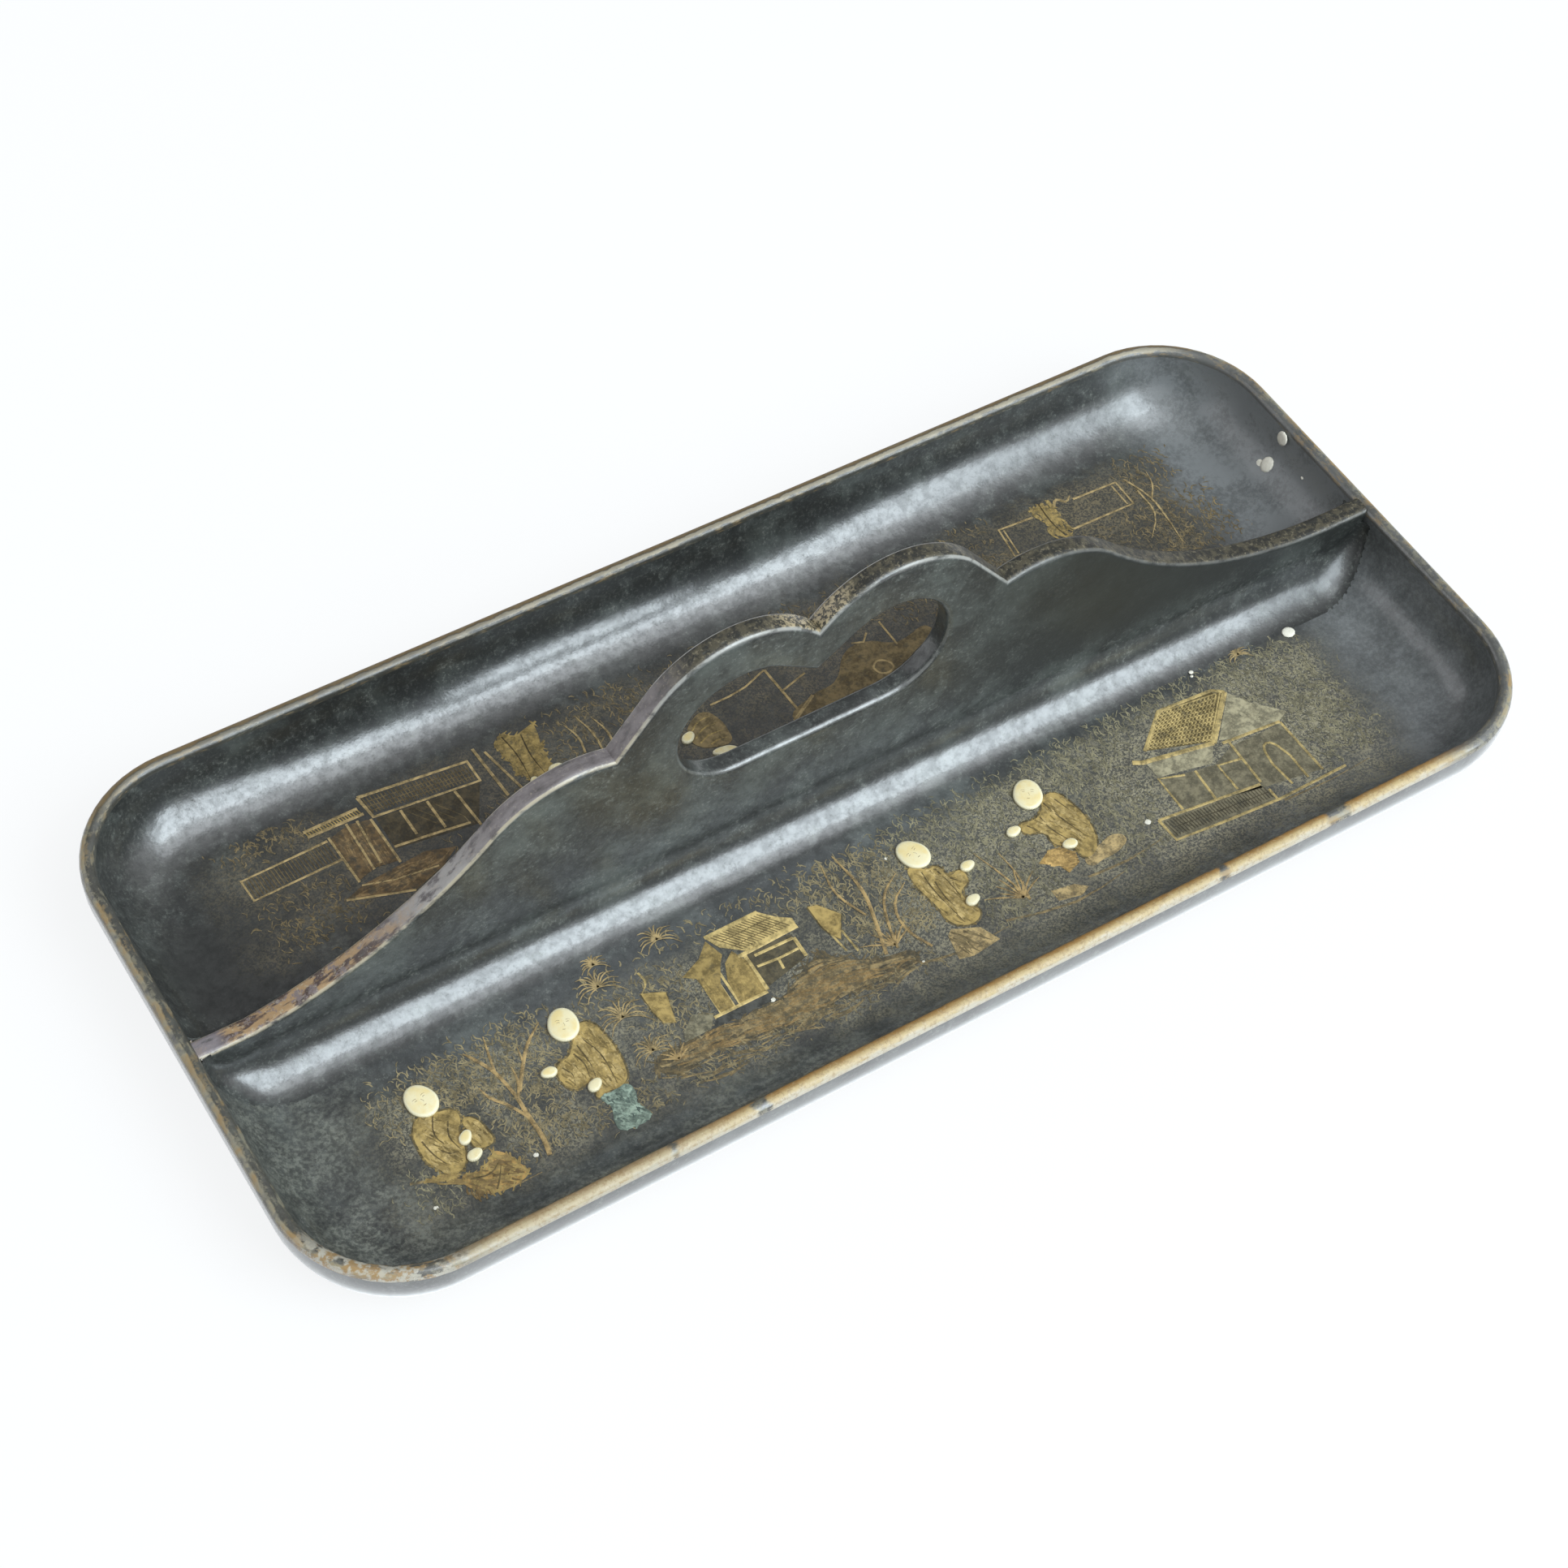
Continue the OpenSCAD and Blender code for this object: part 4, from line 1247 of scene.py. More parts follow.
class PENTRAY_OT_front_scene(PaintedFloor, bpy.types.Operator):
    """Paint the front trough: a garden with two pavilions, trees and four robed figures"""
    bl_idname = "pentray.front_scene"
    bl_label = "Front scene"
    side = "front_"

    # Outline of each robe, the slant of its folds and the number of brush strokes
    robes = ((((-113.2, -28), (-108.5, -28.6), (-105.5, -29.9), (-105.6, -32.6), (-107, -34.4),
               (-107.3, -36.8), (-108.2, -39.6), (-110.3, -42.5), (-113.1, -42.4), (-114.6, -40),
               (-115.7, -37.6), (-115.8, -34.4), (-115.3, -31)),
              -64, 34),
             (((-104.8, -32.4), (-102.9, -33.6), (-102, -37), (-102.1, -40), (-104.1, -40.4),
               (-105.8, -39.4), (-105.4, -35.5)),
              -80, 8),
             (((-73.9, -24.5), (-71.8, -25), (-70.4, -28.8), (-70.1, -34), (-70.6, -38.2), (-71.6, -40.6),
               (-74.1, -41.7), (-76.7, -41.3), (-79, -41.6), (-77, -39), (-77.6, -37), (-79.3, -37.6),
               (-82, -37.7), (-83.4, -35.2), (-83.3, -32.6), (-81.9, -30.8), (-79.5, -30.3),
               (-77, -27.8)),
              -86, 44),
             (((7.3, -25.3), (10.4, -27.4), (12.9, -27.9), (13.8, -31.2), (16.6, -31.2), (16.6, -34.2),
               (13.7, -36.2), (13.8, -39.3), (14.5, -42), (12.3, -43.9), (9, -43.2), (7.3, -41),
               (7.2, -38), (6.6, -33.5), (6.1, -29.5)),
              -80, 34),
             (((43.5, -23.9), (46.5, -24.3), (48.1, -29), (48.6, -33.7), (47.6, -38.2), (45.1, -41.6),
               (42.2, -41.6), (42, -40), (41, -37.6), (38.6, -35.6), (38.2, -31.6), (34.7, -30.3),
               (34.8, -27.8), (38.5, -28), (40.9, -26.9)),
              -72, 38))
    banners = (((-59, -24.4), (-54.2, -26.6), (-56.1, -34), (-58.4, -32.9), (-59, -29.6)),
               ((-17.2, -23.1), (-15.2, -23.6), (-11.9, -28.1), (-15.3, -33.4), (-16.5, -31.7),
                (-17.2, -28.9)))

    def paint_all(self):
        self.garden()
        self.figures()
        self.left_pavilion()
        self.right_pavilion()

    def garden(self):
        look = self.look

        # Ground: a long dark bank, brushed over with streaks
        bank = self.layer("bank")
        outline = ((-65, -40.8), (-57, -39.2), (-50.4, -39.6), (-40, -40), (-31.6, -39), (-25.4, -35.6),
                   (-21.4, -35), (-16, -39), (-10.5, -41.6), (-3, -45), (-11, -46.6), (-19, -46),
                   (-29, -46), (-37, -46.6), (-43, -45), (-52, -44), (-63, -44.6))
        bank.shape(*outline)
        bank.paint("bank_gold", (0.15, 0.115, 0.06), 0.74, (0.07, 0.062, 0.043), lift=-0.03)
        streaks = self.layer("streaks", True)
        streaks.sow(outline, 150, -6, 9.0, 0.35, 0.9)
        below = ((-66, -44), (-40, -46.6), (-4, -46), (-2, -48.4), (-30, -50.4), (-58, -50.6))
        streaks.sow(below, 36, -4, 8.0, 0.25, 0.6)
        for points in (((-121, -40.4), (-114, -42.6), (-107, -45)),
                       ((-112, -48), (-106, -50.6), (-97, -51)), ((-4, -47), (4, -48.6), (18, -48.4)),
                       ((18, -47), (34, -50.4), (48, -49)), ((40, -46.4), (50, -47), (60, -46)),
                       ((90, -51), (102, -51.6), (114, -51))):
            streaks.brush(*points, width=0.6, tip=0.3)
        streaks.paint("streak_brown_gold", look.brown, 0.68, lift=0.03)
        streaks_low = self.layer("bank_frays", True)
        streaks_low.fray(outline, 130, 4.0)
        streaks_low.paint("bank_fray_brown", shade(look.brown, 0.6), 0.7, lift=0.02)
        glow = self.layer("streak_lights", True)
        glow.sow(outline, 80, -6, 7.0, 0.3, 0.7)
        glow.paint("streak_orange_gold", (0.34, 0.225, 0.09), 0.7, (0.16, 0.12, 0.06), lift=0.05)

        # The bare tree, stems and palm heads
        trees = self.layer("trees")
        trees.brush((-93.8, -48.4), (-93.1, -44.6), (-93.2, -38.9), (-93.1, -33.5), width=1.0, tip=0.8)
        for width, *points in ((0.65, (-93.2, -38.9), (-95.4, -34.4), (-98, -30.7), (-98.8, -27.8)),
                               (0.75, (-93.1, -33.5), (-94.2, -26.3), (-96.3, -21.5), (-97.8, -19)),
                               (0.55, (-94.2, -26.3), (-93.3, -21.8), (-92.3, -17.4)),
                               (0.55, (-93.1, -34), (-91, -29.8), (-90.7, -26.6)),
                               (0.75, (-92, -32.6), (-88.1, -27), (-85.3, -23.6), (-80.7, -20)),
                               (0.45, (-88.1, -27), (-87.4, -23)),
                               (0.8, (-9, -41.6), (-6.4, -33), (-4.6, -25), (-5.6, -14.4)),
                               (0.6, (-6, -41.4), (-4, -34), (-1, -28.4), (4, -25)),
                               (0.55, (-7.4, -31), (-10, -23), (-9, -15.4)),
                               (0.6, (0.6, -44.6), (-1.8, -38), (-0.4, -31.6), (4.4, -28)),
                               (0.45, (25.6, -45), (24, -37), (21.6, -29)),
                               (0.45, (25.6, -45), (26.8, -38), (26.4, -31.6))):
            trees.brush(*points, width=width)
        trees.tuft(-6, -40.6, 8, 9)
        trees.tuft(24.6, -44, 9, 9)
        trees.tuft(-60, -42, 5, 7)
        trees.paint("tree_brown_gold", (0.43, 0.3, 0.13), 0.6, lift=0.12)
        palms = self.layer("palms")
        for x, y, size in ((-65.8, -18.6, 5.8), (-64, -13.4, 3.4), (-65, -27.6, 6.2), (-63.6, -37.6, 5.2),
                           (-49.2, -14.4, 5.0), (106, -12.6, 3.2)):
            palms.palm(x, y, size)
        palms.paint("palm_gold", shade(look.brown, 1.25), 0.6, lift=0.11)

        # Twigs and grass
        twigs = self.layer("twigs", True)
        for area in ((-120, -30, -102, -17, 170, 10), (-106, -31, -80, -17.5, 520, 12),
                     (-100, -48, -83, -30, 380, -18), (-84, -51, -66, -43, 110),
                     (-78, -26, -50, -17, 110), (-63, -40, -50, -23, 200), (-50, -19, -20, -14, 60),
                     (-22, -23, 6, -15.5, 260), (-14, -41, 6, -22, 460, -12),
                     (-60, -51, 0, -46, 200, 20)):
            twigs.thicket(*area)
        twigs.paint("twig_olive", (0.285, 0.235, 0.13), 0.6)
        grass = self.layer("grass", True)
        for area in ((6, -25, 36, -14, 300), (16, -49, 34, -24, 480, -14), (34, -24, 68, -14, 320),
                     (48, -49, 64, -23, 380), (66, -18, 108, -11, 260), (98, -32, 120, -14, 420, 14),
                     (104, -48, 120, -30, 380, 20), (-122, -51, -112, -40, 90)):
            grass.thicket(*area)
        grass.paint("grass_grey_gold", (0.265, 0.24, 0.15), 0.62)

    def figures(self):
        look = self.look

        # Laps, skirts and trains
        laps = self.layer("orange_skirts")
        sash = ((32.5, -38.2), (36.5, -36.3), (38.9, -36.8), (41.3, -39.6), (40.6, -42.2), (37, -43.4),
                (36.1, -40.7))
        lap = ((-111.4, -44.2), (-107.8, -44.6), (-104.8, -43.8), (-103.2, -42.2), (-101.8, -43),
               (-100.2, -46.4), (-99.4, -49.6), (-102, -50.8), (-106.4, -50.6), (-109.6, -48.8))
        laps.shape(*lap)
        laps.shape(*sash, soft=False)
        laps.paint("skirt_orange_gold", shade(look.orange, 0.95), 0.6, lift=0.02)
        lap_lights = self.layer("lap_lights", True)
        lap_lights.sow(lap, 40, -30, 2.8, 0.4, 0.9)
        lap_lights.fray(lap, 40, 2.2)
        stool = ((-119.4, -41), (-115.4, -40.4), (-111, -43.6), (-110.4, -46.4), (-115.6, -43.4))
        lap_lights.sow(stool, 30, -34, 3.0, 0.3, 0.7)
        lap_lights.paint("lap_light_gold", shade(look.gold, 0.95), 0.66, (0.24, 0.165, 0.07), lift=0.08)
        lap_shades = self.layer("lap_shades", True)
        lap_shades.sow(lap, 26, -34, 2.4, 0.3, 0.7)
        lap_shades.sow(((-113, -46), (-109, -47), (-107, -51), (-111, -51)), 12, 76, 2.6, 0.25, 0.45)
        lap_shades.paint("lap_shade_brown", (0.15, 0.1, 0.042), 0.7, (0.26, 0.18, 0.075), lift=0.1)
        sash_lights = self.layer("sash_lights", True)
        sash_lights.sow(sash, 40, -20, 2.4, 0.5, 1.0)
        sash_lights.paint("sash_light_orange", (0.62, 0.41, 0.15), 0.58, look.orange, lift=0.08)
        trains = self.layer("brown_skirts")
        train = ((6.4, -43), (12.2, -45.6), (14.2, -50.2), (7, -51), (3.8, -50.2), (5, -44))
        trains.shape((42.2, -42), (46.4, -40.7), (51.9, -40), (53.2, -41.8), (50.8, -43.6), (45.4, -44.2),
                     (42, -44))
        trains.shape(*train, soft=False)
        trains.shape((30.8, -45.4), (36.2, -46.4), (38.6, -48.4), (36.2, -49.6), (30.8, -48.4),
                     soft=False)
        trains.paint("skirt_brown_gold", shade(look.brown, 1.55), 0.62, lift=0.01)
        pleats = self.layer("train_pleats", True)
        pleats.sow(train, 16, -66, 3.4, 0.3, 0.6)
        pleats.paint("pleat_brown", (0.17, 0.13, 0.065), 0.68, (0.3, 0.23, 0.11), lift=0.07)
        green = self.layer("turquoise_skirt")
        green.shape((-78.4, -41.8), (-76, -41.8), (-72.2, -41.8), (-71.6, -44.2), (-72.6, -47),
                    (-71.4, -50.2), (-72.6, -51.2), (-75.4, -51.3), (-78.7, -50.4), (-78.8, -48.4),
                    (-77.7, -44.8))
        green.paint("skirt_turquoise", look.turquoise, 0.58, lift=0.03)
        skirt = ((-78, -42.2), (-72.4, -42.2), (-72.8, -47), (-71.8, -50.6), (-75.4, -51), (-78.4, -50.2),
                 (-77.6, -44.8))
        pale = self.layer("turquoise_lights", True)
        pale.sow(skirt, 70, -40, 1.2, 0.4, 0.8)
        pale.fray(skirt, 30, 1.6)
        pale.paint("turquoise_light", (0.34, 0.43, 0.345), 0.66, look.turquoise, lift=0.09)
        deep = self.layer("turquoise_shades", True)
        deep.sow(skirt, 40, -80, 1.4, 0.3, 0.6)
        deep.paint("turquoise_shade", (0.07, 0.1, 0.085), 0.7, look.turquoise, lift=0.095)

        # Robes: a dark ring, a gold ground, brushed shades and lights along the folds
        robes = self.layer("robes")
        rings = self.layer("robe_edges")
        shades = self.layer("robe_shades", True)
        lights = self.layer("robe_lights", True)
        for outline, lean, count in self.robes:
            robes.shape(*outline)
            rings.ring(outline, 1.0)
            shades.sow(outline, count, lean + 10, 2.6, 0.3, 0.62)
            lights.sow(outline, int(1.3 * count), lean, 3.0, 0.3, 0.8)
        for outline in self.banners:
            robes.shape(*outline, soft=False)
            rings.ring(outline, 0.7, False)
        frays = self.layer("robe_frays", True)
        for outline, _, count in self.robes:
            frays.fray(outline, 2 * count, 1.6)
        frays.paint("robe_fray_gold", shade(look.gold, 0.7), 0.66, lift=0.06)
        rings.paint("robe_edge_brown", (0.13, 0.1, 0.045), 0.6, lift=0.0)
        robes.paint("robe_gold", shade(look.gold, 1.04), 0.5, lift=0.05)
        ground = shade(look.gold, 0.8)
        shades.paint("robe_shade_gold", shade(look.gold, 0.42), 0.72, ground, lift=0.11)
        lights.paint("robe_light_gold", (0.56, 0.42, 0.18), 0.7, ground, lift=0.115)
        folds = self.layer("robe_folds")
        for points in (((-110, -29), (-111.6, -33), (-110.6, -36.6)),
                       ((-107.8, -31.4), (-109.2, -34.6), (-108.6, -38.4)),
                       ((-114.5, -33), (-113.8, -37), (-112.6, -40)),
                       ((-112.2, -36.8), (-110.8, -38.2), (-109.2, -38.6)),
                       ((-110, -45.4), (-106, -46.2), (-103, -44.4)),
                       ((-106.6, -50), (-104.8, -47.8), (-103.4, -45.6)),
                       ((-75.2, -27), (-73.4, -33), (-73.8, -40.6)),
                       ((-78.2, -30.2), (-77.4, -33.4), (-78, -36.6)),
                       ((-81.8, -32), (-80.8, -34.6), (-81.6, -37)),
                       ((-76.6, -28.8), (-76.4, -34), (-77, -37.6)),
                       ((9, -27.6), (8.8, -33), (10, -42.4)), ((12.2, -29), (12.8, -33), (13, -37)),
                       ((10.2, -31), (10, -36), (11, -40)), ((13.6, -31.8), (15, -33.6)),
                       ((42.6, -25.2), (43.6, -30), (45.8, -37)), ((39.8, -28), (40.2, -32), (42.8, -38)),
                       ((45.4, -25.6), (46.9, -30.4)), ((36, -28.6), (37.2, -30.6))):
            folds.brush(*points, width=0.36)
        folds.paint("fold_lines", (0.125, 0.09, 0.038), 0.62, (0.2, 0.15, 0.06), lift=0.13)
        poles = self.layer("banner_poles")
        poles.brush((-56.9, -19.6), (-56.7, -22.4), (-58.8, -24.6), width=0.55)
        poles.line((-16.5, -31.4), (-15.8, -36.6), width=0.5)
        poles.line((-14, -31.6), (-13.7, -37.8), width=0.5)
        poles.paint("pole_gold", look.pale_gold, 0.6)

    def left_pavilion(self):
        """Hipped roof with tiles, closed hall and an open bay with a bench."""
        look = self.look
        walls = self.layer("left_pavilion_walls")
        walls.shape((-40.6, -19.8), (-44.1, -23), (-49.4, -25.2), (-47, -27), (-46.8, -36.6),
                    (-43.6, -36.6), (-43.2, -30.4), (-40.8, -26.4), (-39.2, -24.4), soft=False)
        walls.shape((-42.2, -36.6), (-41.6, -30.6), (-39.8, -26.6), (-37, -24.6), (-35.4, -28.6),
                    (-35.9, -36.6), soft=False)
        walls.paint("pavilion_wall_gold", shade(look.gold, 0.82), 0.54, lift=0.02)
        bay = self.layer("left_pavilion_bay")
        bay.shape((-35, -26.6), (-24, -27), (-24, -33.6), (-34.8, -36), soft=False)
        bay.paint("bay_dark", (0.12, 0.1, 0.058), 0.64, (0.065, 0.06, 0.045), lift=-0.03)
        panels = self.layer("left_pavilion_panels", True)
        panels.sow(((-46.6, -26.6), (-43.8, -27), (-43.8, -36.4), (-46.6, -36.4)), 12, -88, 5.0, 0.3, 0.6)
        panels.sow(((-41.4, -29), (-37, -26), (-35.8, -29), (-36, -36.4), (-42, -36.4)), 22, -88, 5.0,
                   0.3, 0.7)
        panels.paint("pavilion_panel_gold", shade(look.gold, 1.05), 0.66, shade(look.gold, 0.66),
                     lift=0.08)
        plinth = self.layer("left_pavilion_plinth")
        plinth.shape((-48.2, -37.4), (-35.9, -37.4), (-35.4, -39.4), (-50.2, -39.2), soft=False)
        plinth.paint("plinth_grey", (0.085, 0.085, 0.075), 0.5, lift=0.02)
        step_stone = self.layer("left_pavilion_step")
        step_stone.shape((-52.3, -34), (-48.4, -36.3), (-50.6, -39), (-56.9, -39.2), (-56, -37),
                         soft=False)
        step_stone.paint("step_grey_gold", shade(look.mist, 0.9), 0.6, lift=0.02)
        roof = self.layer("left_pavilion_roof")
        roof.shape((-40.4, -19), (-27.2, -18.8), (-24.4, -21.8), (-21.5, -23.8), (-21.7, -26),
                   (-34.4, -26), (-38.8, -22.6), soft=False)
        for width, *points in ((0.9, (-40.4, -19), (-27.2, -18.8)), (1.0, (-36.6, -26.6), (-21.6, -26)),
                               (0.7, (-33.4, -28), (-24, -28.2)),
                               (0.6, (-34.3, -30.6), (-29.3, -31.1), (-24.4, -31)),
                               (0.6, (-29.4, -31.2), (-29.7, -33.8)),
                               (0.85, (-23.8, -28.2), (-23.9, -33.4)),
                               (0.9, (-35.2, -27), (-35.4, -36.6)), (0.8, (-48.6, -37), (-35.6, -37))):
            roof.line(*points, width=width)
        for x in (-46.6, -43.4, -42):
            roof.line((x, -27.4), (x - 0.2, -36.8), width=0.6)
        roof.paint("pavilion_pale_gold", shade(look.pale_gold, 1.25), 0.44, lift=0.04)
        tiles = self.layer("left_pavilion_tiles")
        tiles.bars(((-39.2, -19.6), (-34.6, -25.4)), ((-27.6, -19.4), (-23, -25.2)), 16, width=0.26)
        tiles.bars(((-37.6, -21.6), (-25.4, -21.4)), ((-36, -23.8), (-24, -23.6)), 2, width=0.22)
        tiles.paint("tile_lines", (0.17, 0.125, 0.05), 0.62, (0.38, 0.29, 0.12), lift=0.12)

    def right_pavilion(self):
        """Lattice roof, gallery with posts, an arched door and a hatched balustrade."""
        look = self.look
        roof = self.layer("right_pavilion_roof")
        roof.shape((70.8, -24.6), (80, -16.9), (94.2, -18), (96.4, -19.8), (86, -30), soft=False)
        roof.paint("hall_roof_dark", (0.16, 0.12, 0.045), 0.55, lift=0.0)
        side = self.layer("right_pavilion_side")
        side.shape((97, -20.4), (99.8, -25), (105.7, -31.2), (102.1, -32.8), (90.4, -31.6), (87.2, -30.3),
                   soft=False)
        side.shape((69, -27.8), (85.2, -30.8), (82, -34.8), (69, -32), soft=False)
        side.paint("hall_side_mist", shade(look.mist, 1.3), 0.6, (0.2, 0.185, 0.125), lift=0.0)
        bays = self.layer("right_pavilion_bays")
        bays.shape((68.9, -33), (82.4, -35.4), (88.6, -33), (102.2, -33.4), (102.6, -48.2), (89, -46),
                   (68.8, -42), soft=False)
        bays.shape((62.6, -42.2), (87.8, -45.2), (89.2, -49.8), (62.9, -47.6), soft=False)
        bays.paint("hall_bay_brown", (0.215, 0.19, 0.12), 0.66, (0.115, 0.104, 0.07), lift=-0.04)
        hall = self.layer("right_pavilion")
        for width, *points in ((0.9, (70.8, -24.6), (80, -16.9), (94.2, -18), (96.6, -19.8)),
                               (1.2, (66.4, -25.9), (68.4, -27), (85.7, -30.4)),
                               (1.3, (85.7, -30.4), (96.6, -19.8)), (0.8, (87.4, -31.4), (102.5, -32.8))):
            hall.line(*points, width=width)
        hall.bars(((71.6, -24.6), (80.2, -17.4)), ((85.4, -29.6), (95.4, -19.6)), 17, width=0.42)
        hall.bars(((72, -24.2), (86, -29.4)), ((80, -17.4), (94.6, -19.2)), 11, width=0.42)
        for points in (((74.7, -34.4), (68.8, -32.4), (68.7, -41.9)), ((77.4, -34.6), (76.8, -43)),
                       ((88.6, -37), (82.7, -35.9), (82.7, -43.4)), ((88.9, -31.4), (88.4, -44.4)),
                       ((102.5, -33), (102.8, -48.4)), ((88.8, -46.8), (88.9, -50.2))):
            hall.line(*points, width=0.62)
        hall.brush((94.4, -48.2), (94.3, -38.4), (96, -36.2), (97.9, -38.2), (98.6, -48.5), width=0.58,
                   tip=1.0)
        hall.line((62.2, -41.7), (75, -43.2), (87.9, -44.8), width=0.7)
        hall.line((62.2, -41.7), (62.6, -47.9), (76, -49.2), (89.5, -50.2), (108, -50), width=0.7)
        hall.paint("hall_pale_gold", shade(look.pale_gold, 1.05), 0.58, lift=0.05)
        hatch = self.layer("right_pavilion_hatching")
        hatch.bars(((63, -42.6), (63.6, -47)), ((88, -45.6), (88.2, -49)), 34, width=0.26)
        hatch.line((64, -44.8), (76, -46.2), (88, -47.4), width=0.24)
        hatch.paint("hatch_brown", (0.085, 0.07, 0.04), 0.6)


class PENTRAY_OT_rear_scene(PaintedFloor, bpy.types.Operator):
    """Paint the rear trough: a raised pavilion with steps, a gate, robed figures and trees"""
    bl_idname = "pentray.rear_scene"
    bl_label = "Rear scene"
    side = "rear_"

    def paint_all(self):
        self.left_pavilion()
        self.figures()
        self.middle_house()
        self.gate_and_trees()

    def left_pavilion(self):
        """Balustrade, striped canopy over the door, latticed wing and steps."""
        look = self.look
        steps = self.layer("steps")
        steps.shape((-101.2, 26.6), (-96.6, 28.4), (-87.2, 29.2), (-81, 29.8), (-74.4, 27.6),
                    (-79.2, 24.5), (-87.1, 21.8), (-93.7, 24), soft=False)
        steps.shape((-92, 44), (-87.4, 43), (-87, 30.4), (-92.2, 31.2), soft=False)
        steps.shape((-97, 42.6), (-92.6, 43.8), (-92.6, 31), (-96.4, 29.8), soft=False)
        steps.paint("steps_red_brown", (0.19, 0.125, 0.058), 0.66, lift=0.0)
        worn = self.layer("step_strokes", True)
        worn.sow(((-101, 26.6), (-87.2, 29), (-75, 27.6), (-87.1, 22)), 44, 10, 5.0, 0.3, 0.7)
        worn.sow(((-97, 42.4), (-87.4, 42.8), (-87, 30.6), (-96.4, 30)), 34, -88, 5.0, 0.3, 0.6)
        worn.paint("step_stroke_brown", (0.31, 0.21, 0.095), 0.68, lift=0.05)
        bays = self.layer("left_pavilion_bays")
        bays.shape((-86, 42.6), (-62, 40.2), (-67.4, 30.6), (-86, 33.4), soft=False)
        bays.paint("bay_brown", (0.095, 0.075, 0.042), 0.66, (0.05, 0.046, 0.035), lift=-0.03)
        house = self.layer("left_pavilion")
        house.line((-97.8, 42.3), (-118.3, 41.8), (-118, 36), (-96.9, 36.5), width=0.62)
        house.line((-101.3, 46.8), (-88.4, 46.9), width=0.75)
        house.line((-101, 45.2), (-87.8, 45), width=0.75)
        for points in (((-97.2, 43), (-96.6, 29.4)), ((-92.3, 44.4), (-92.4, 30.8)),
                       ((-89.9, 44), (-90.4, 31.6)), ((-87.1, 43), (-86.7, 29.8)),
                       ((-80.5, 42), (-80.3, 34.6)), ((-74.4, 41.3), (-74.1, 33.2)),
                       ((-67.9, 40.8), (-67.1, 30))):
            house.line(*points, width=0.62)
        for width, *points in ((0.8, (-87.1, 49.5), (-61.8, 46.6), (-61.7, 40.6), (-86.3, 43.2),
                                (-87.1, 49.5)),
                               (0.62, (-86, 34), (-77, 32.9), (-68.8, 31.7)),
                               (0.6, (-101.2, 26.6), (-93.7, 24), (-87.1, 21.8)),
                               (0.5, (-96.6, 28.4), (-90, 26.4), (-80, 25))):
            house.line(*points, width=width)
        house.paint("rear_pavilion_gold", shade(look.brown, 1.5), 0.54)
        canopy = self.layer("canopy_stripes")
        canopy.bars(((-101, 46.6), (-100.6, 45.2)), ((-88.6, 46.6), (-88.2, 45.2)), 20, width=0.3)
        canopy.paint("canopy_gold", shade(look.gold, 1.15), 0.5)
        dark = self.layer("lattice")
        dark.bars(((-86.2, 48.8), (-85.8, 44.2)), ((-62.8, 46), (-62.6, 41.4)), 30, width=0.28)
        dark.bars(((-117.4, 41.4), (-117.2, 36.6)), ((-98.4, 41.8), (-98, 37)), 24, width=0.24)
        dark.bars(((-86.6, 47.6), (-62.4, 44.8)), ((-86.4, 45), (-62.2, 42.4)), 3, width=0.24)
        dark.bars(((-79.4, 41), (-75.2, 35)), ((-73.4, 40), (-69, 33.6)), 4, width=0.2)
        dark.paint("lattice_brown", shade(look.brown, 0.5), 0.55)

    def figures(self):
        look = self.look
        robes = self.layer("robes")
        robe = ((-54.4, 48), (-51.6, 49.4), (-49.2, 47.6), (-44, 49), (-44.7, 45.2), (-45.6, 42.3),
                (-46.1, 36.5), (-48.1, 34.2), (-52.4, 33.7), (-52.2, 36.5), (-53.4, 38.5), (-53.7, 42.5))
        robes.shape(*robe, soft=False)
        robes.fray(robe, 60, 2.0)
        robes.paint("rear_robe_gold", shade(look.gold, 0.86), 0.6, lift=0.05)
        gate_figure = self.layer("gate_figure", True)
        cloak = ((88, 48.6), (95.4, 48.8), (95, 43), (94, 40), (95.6, 35.6), (87.6, 35.6), (89.6, 42))
        gate_figure.sow(cloak, 70, -78, 3.4, 0.4, 0.9)
        gate_figure.sow(cloak, 26, 12, 2.6, 0.4, 0.8)
        gate_figure.paint("gate_figure_gold", shade(look.gold, 0.95), 0.66, lift=0.06)
        striped = self.layer("striped_robe")
        striped.shape((-15.8, 29.3), (-13.4, 32), (-9.6, 33), (-7.6, 30.1), (-7.4, 25.6), (-8.2, 23.1),
                      (-11.8, 23.2), (-15.5, 25.5))
        striped.paint("striped_robe_brown", shade(look.brown, 0.72), 0.5, lift=0.05)
        lights = self.layer("robe_stripes")
        for points in (((-53.8, 46.6), (-50, 46.2), (-45, 46.6)),
                       ((-53.6, 44.6), (-50, 44), (-45.4, 44.4)), ((-53.4, 42.4), (-50, 41.8), (-46, 42)),
                       ((-53, 40), (-50, 39.4), (-46.2, 39.6)), ((-52, 37.6), (-49.6, 37), (-46.6, 37.2)),
                       ((-51.8, 35.4), (-49.8, 35), (-47.6, 35.4)),
                       ((-14.6, 29.6), (-12, 31.2), (-9, 31.4)), ((-14.8, 27.4), (-12, 29), (-8.4, 29)),
                       ((-14.6, 25.8), (-12, 26.8), (-8.2, 26.6)),
                       ((-12.6, 24.4), (-10.4, 24.8), (-8.4, 24.4))):
            lights.brush(*points, width=0.5)
        lights.paint("rear_light_gold", look.gold, 0.62, lift=0.1)
        folds = self.layer("robe_folds")
        for points in (((-52, 48.8), (-51.4, 43), (-52, 35)), ((-48, 47.4), (-48.8, 41), (-48.4, 35.4)),
                       ((91.8, 48), (91.3, 42), (91.8, 36.6))):
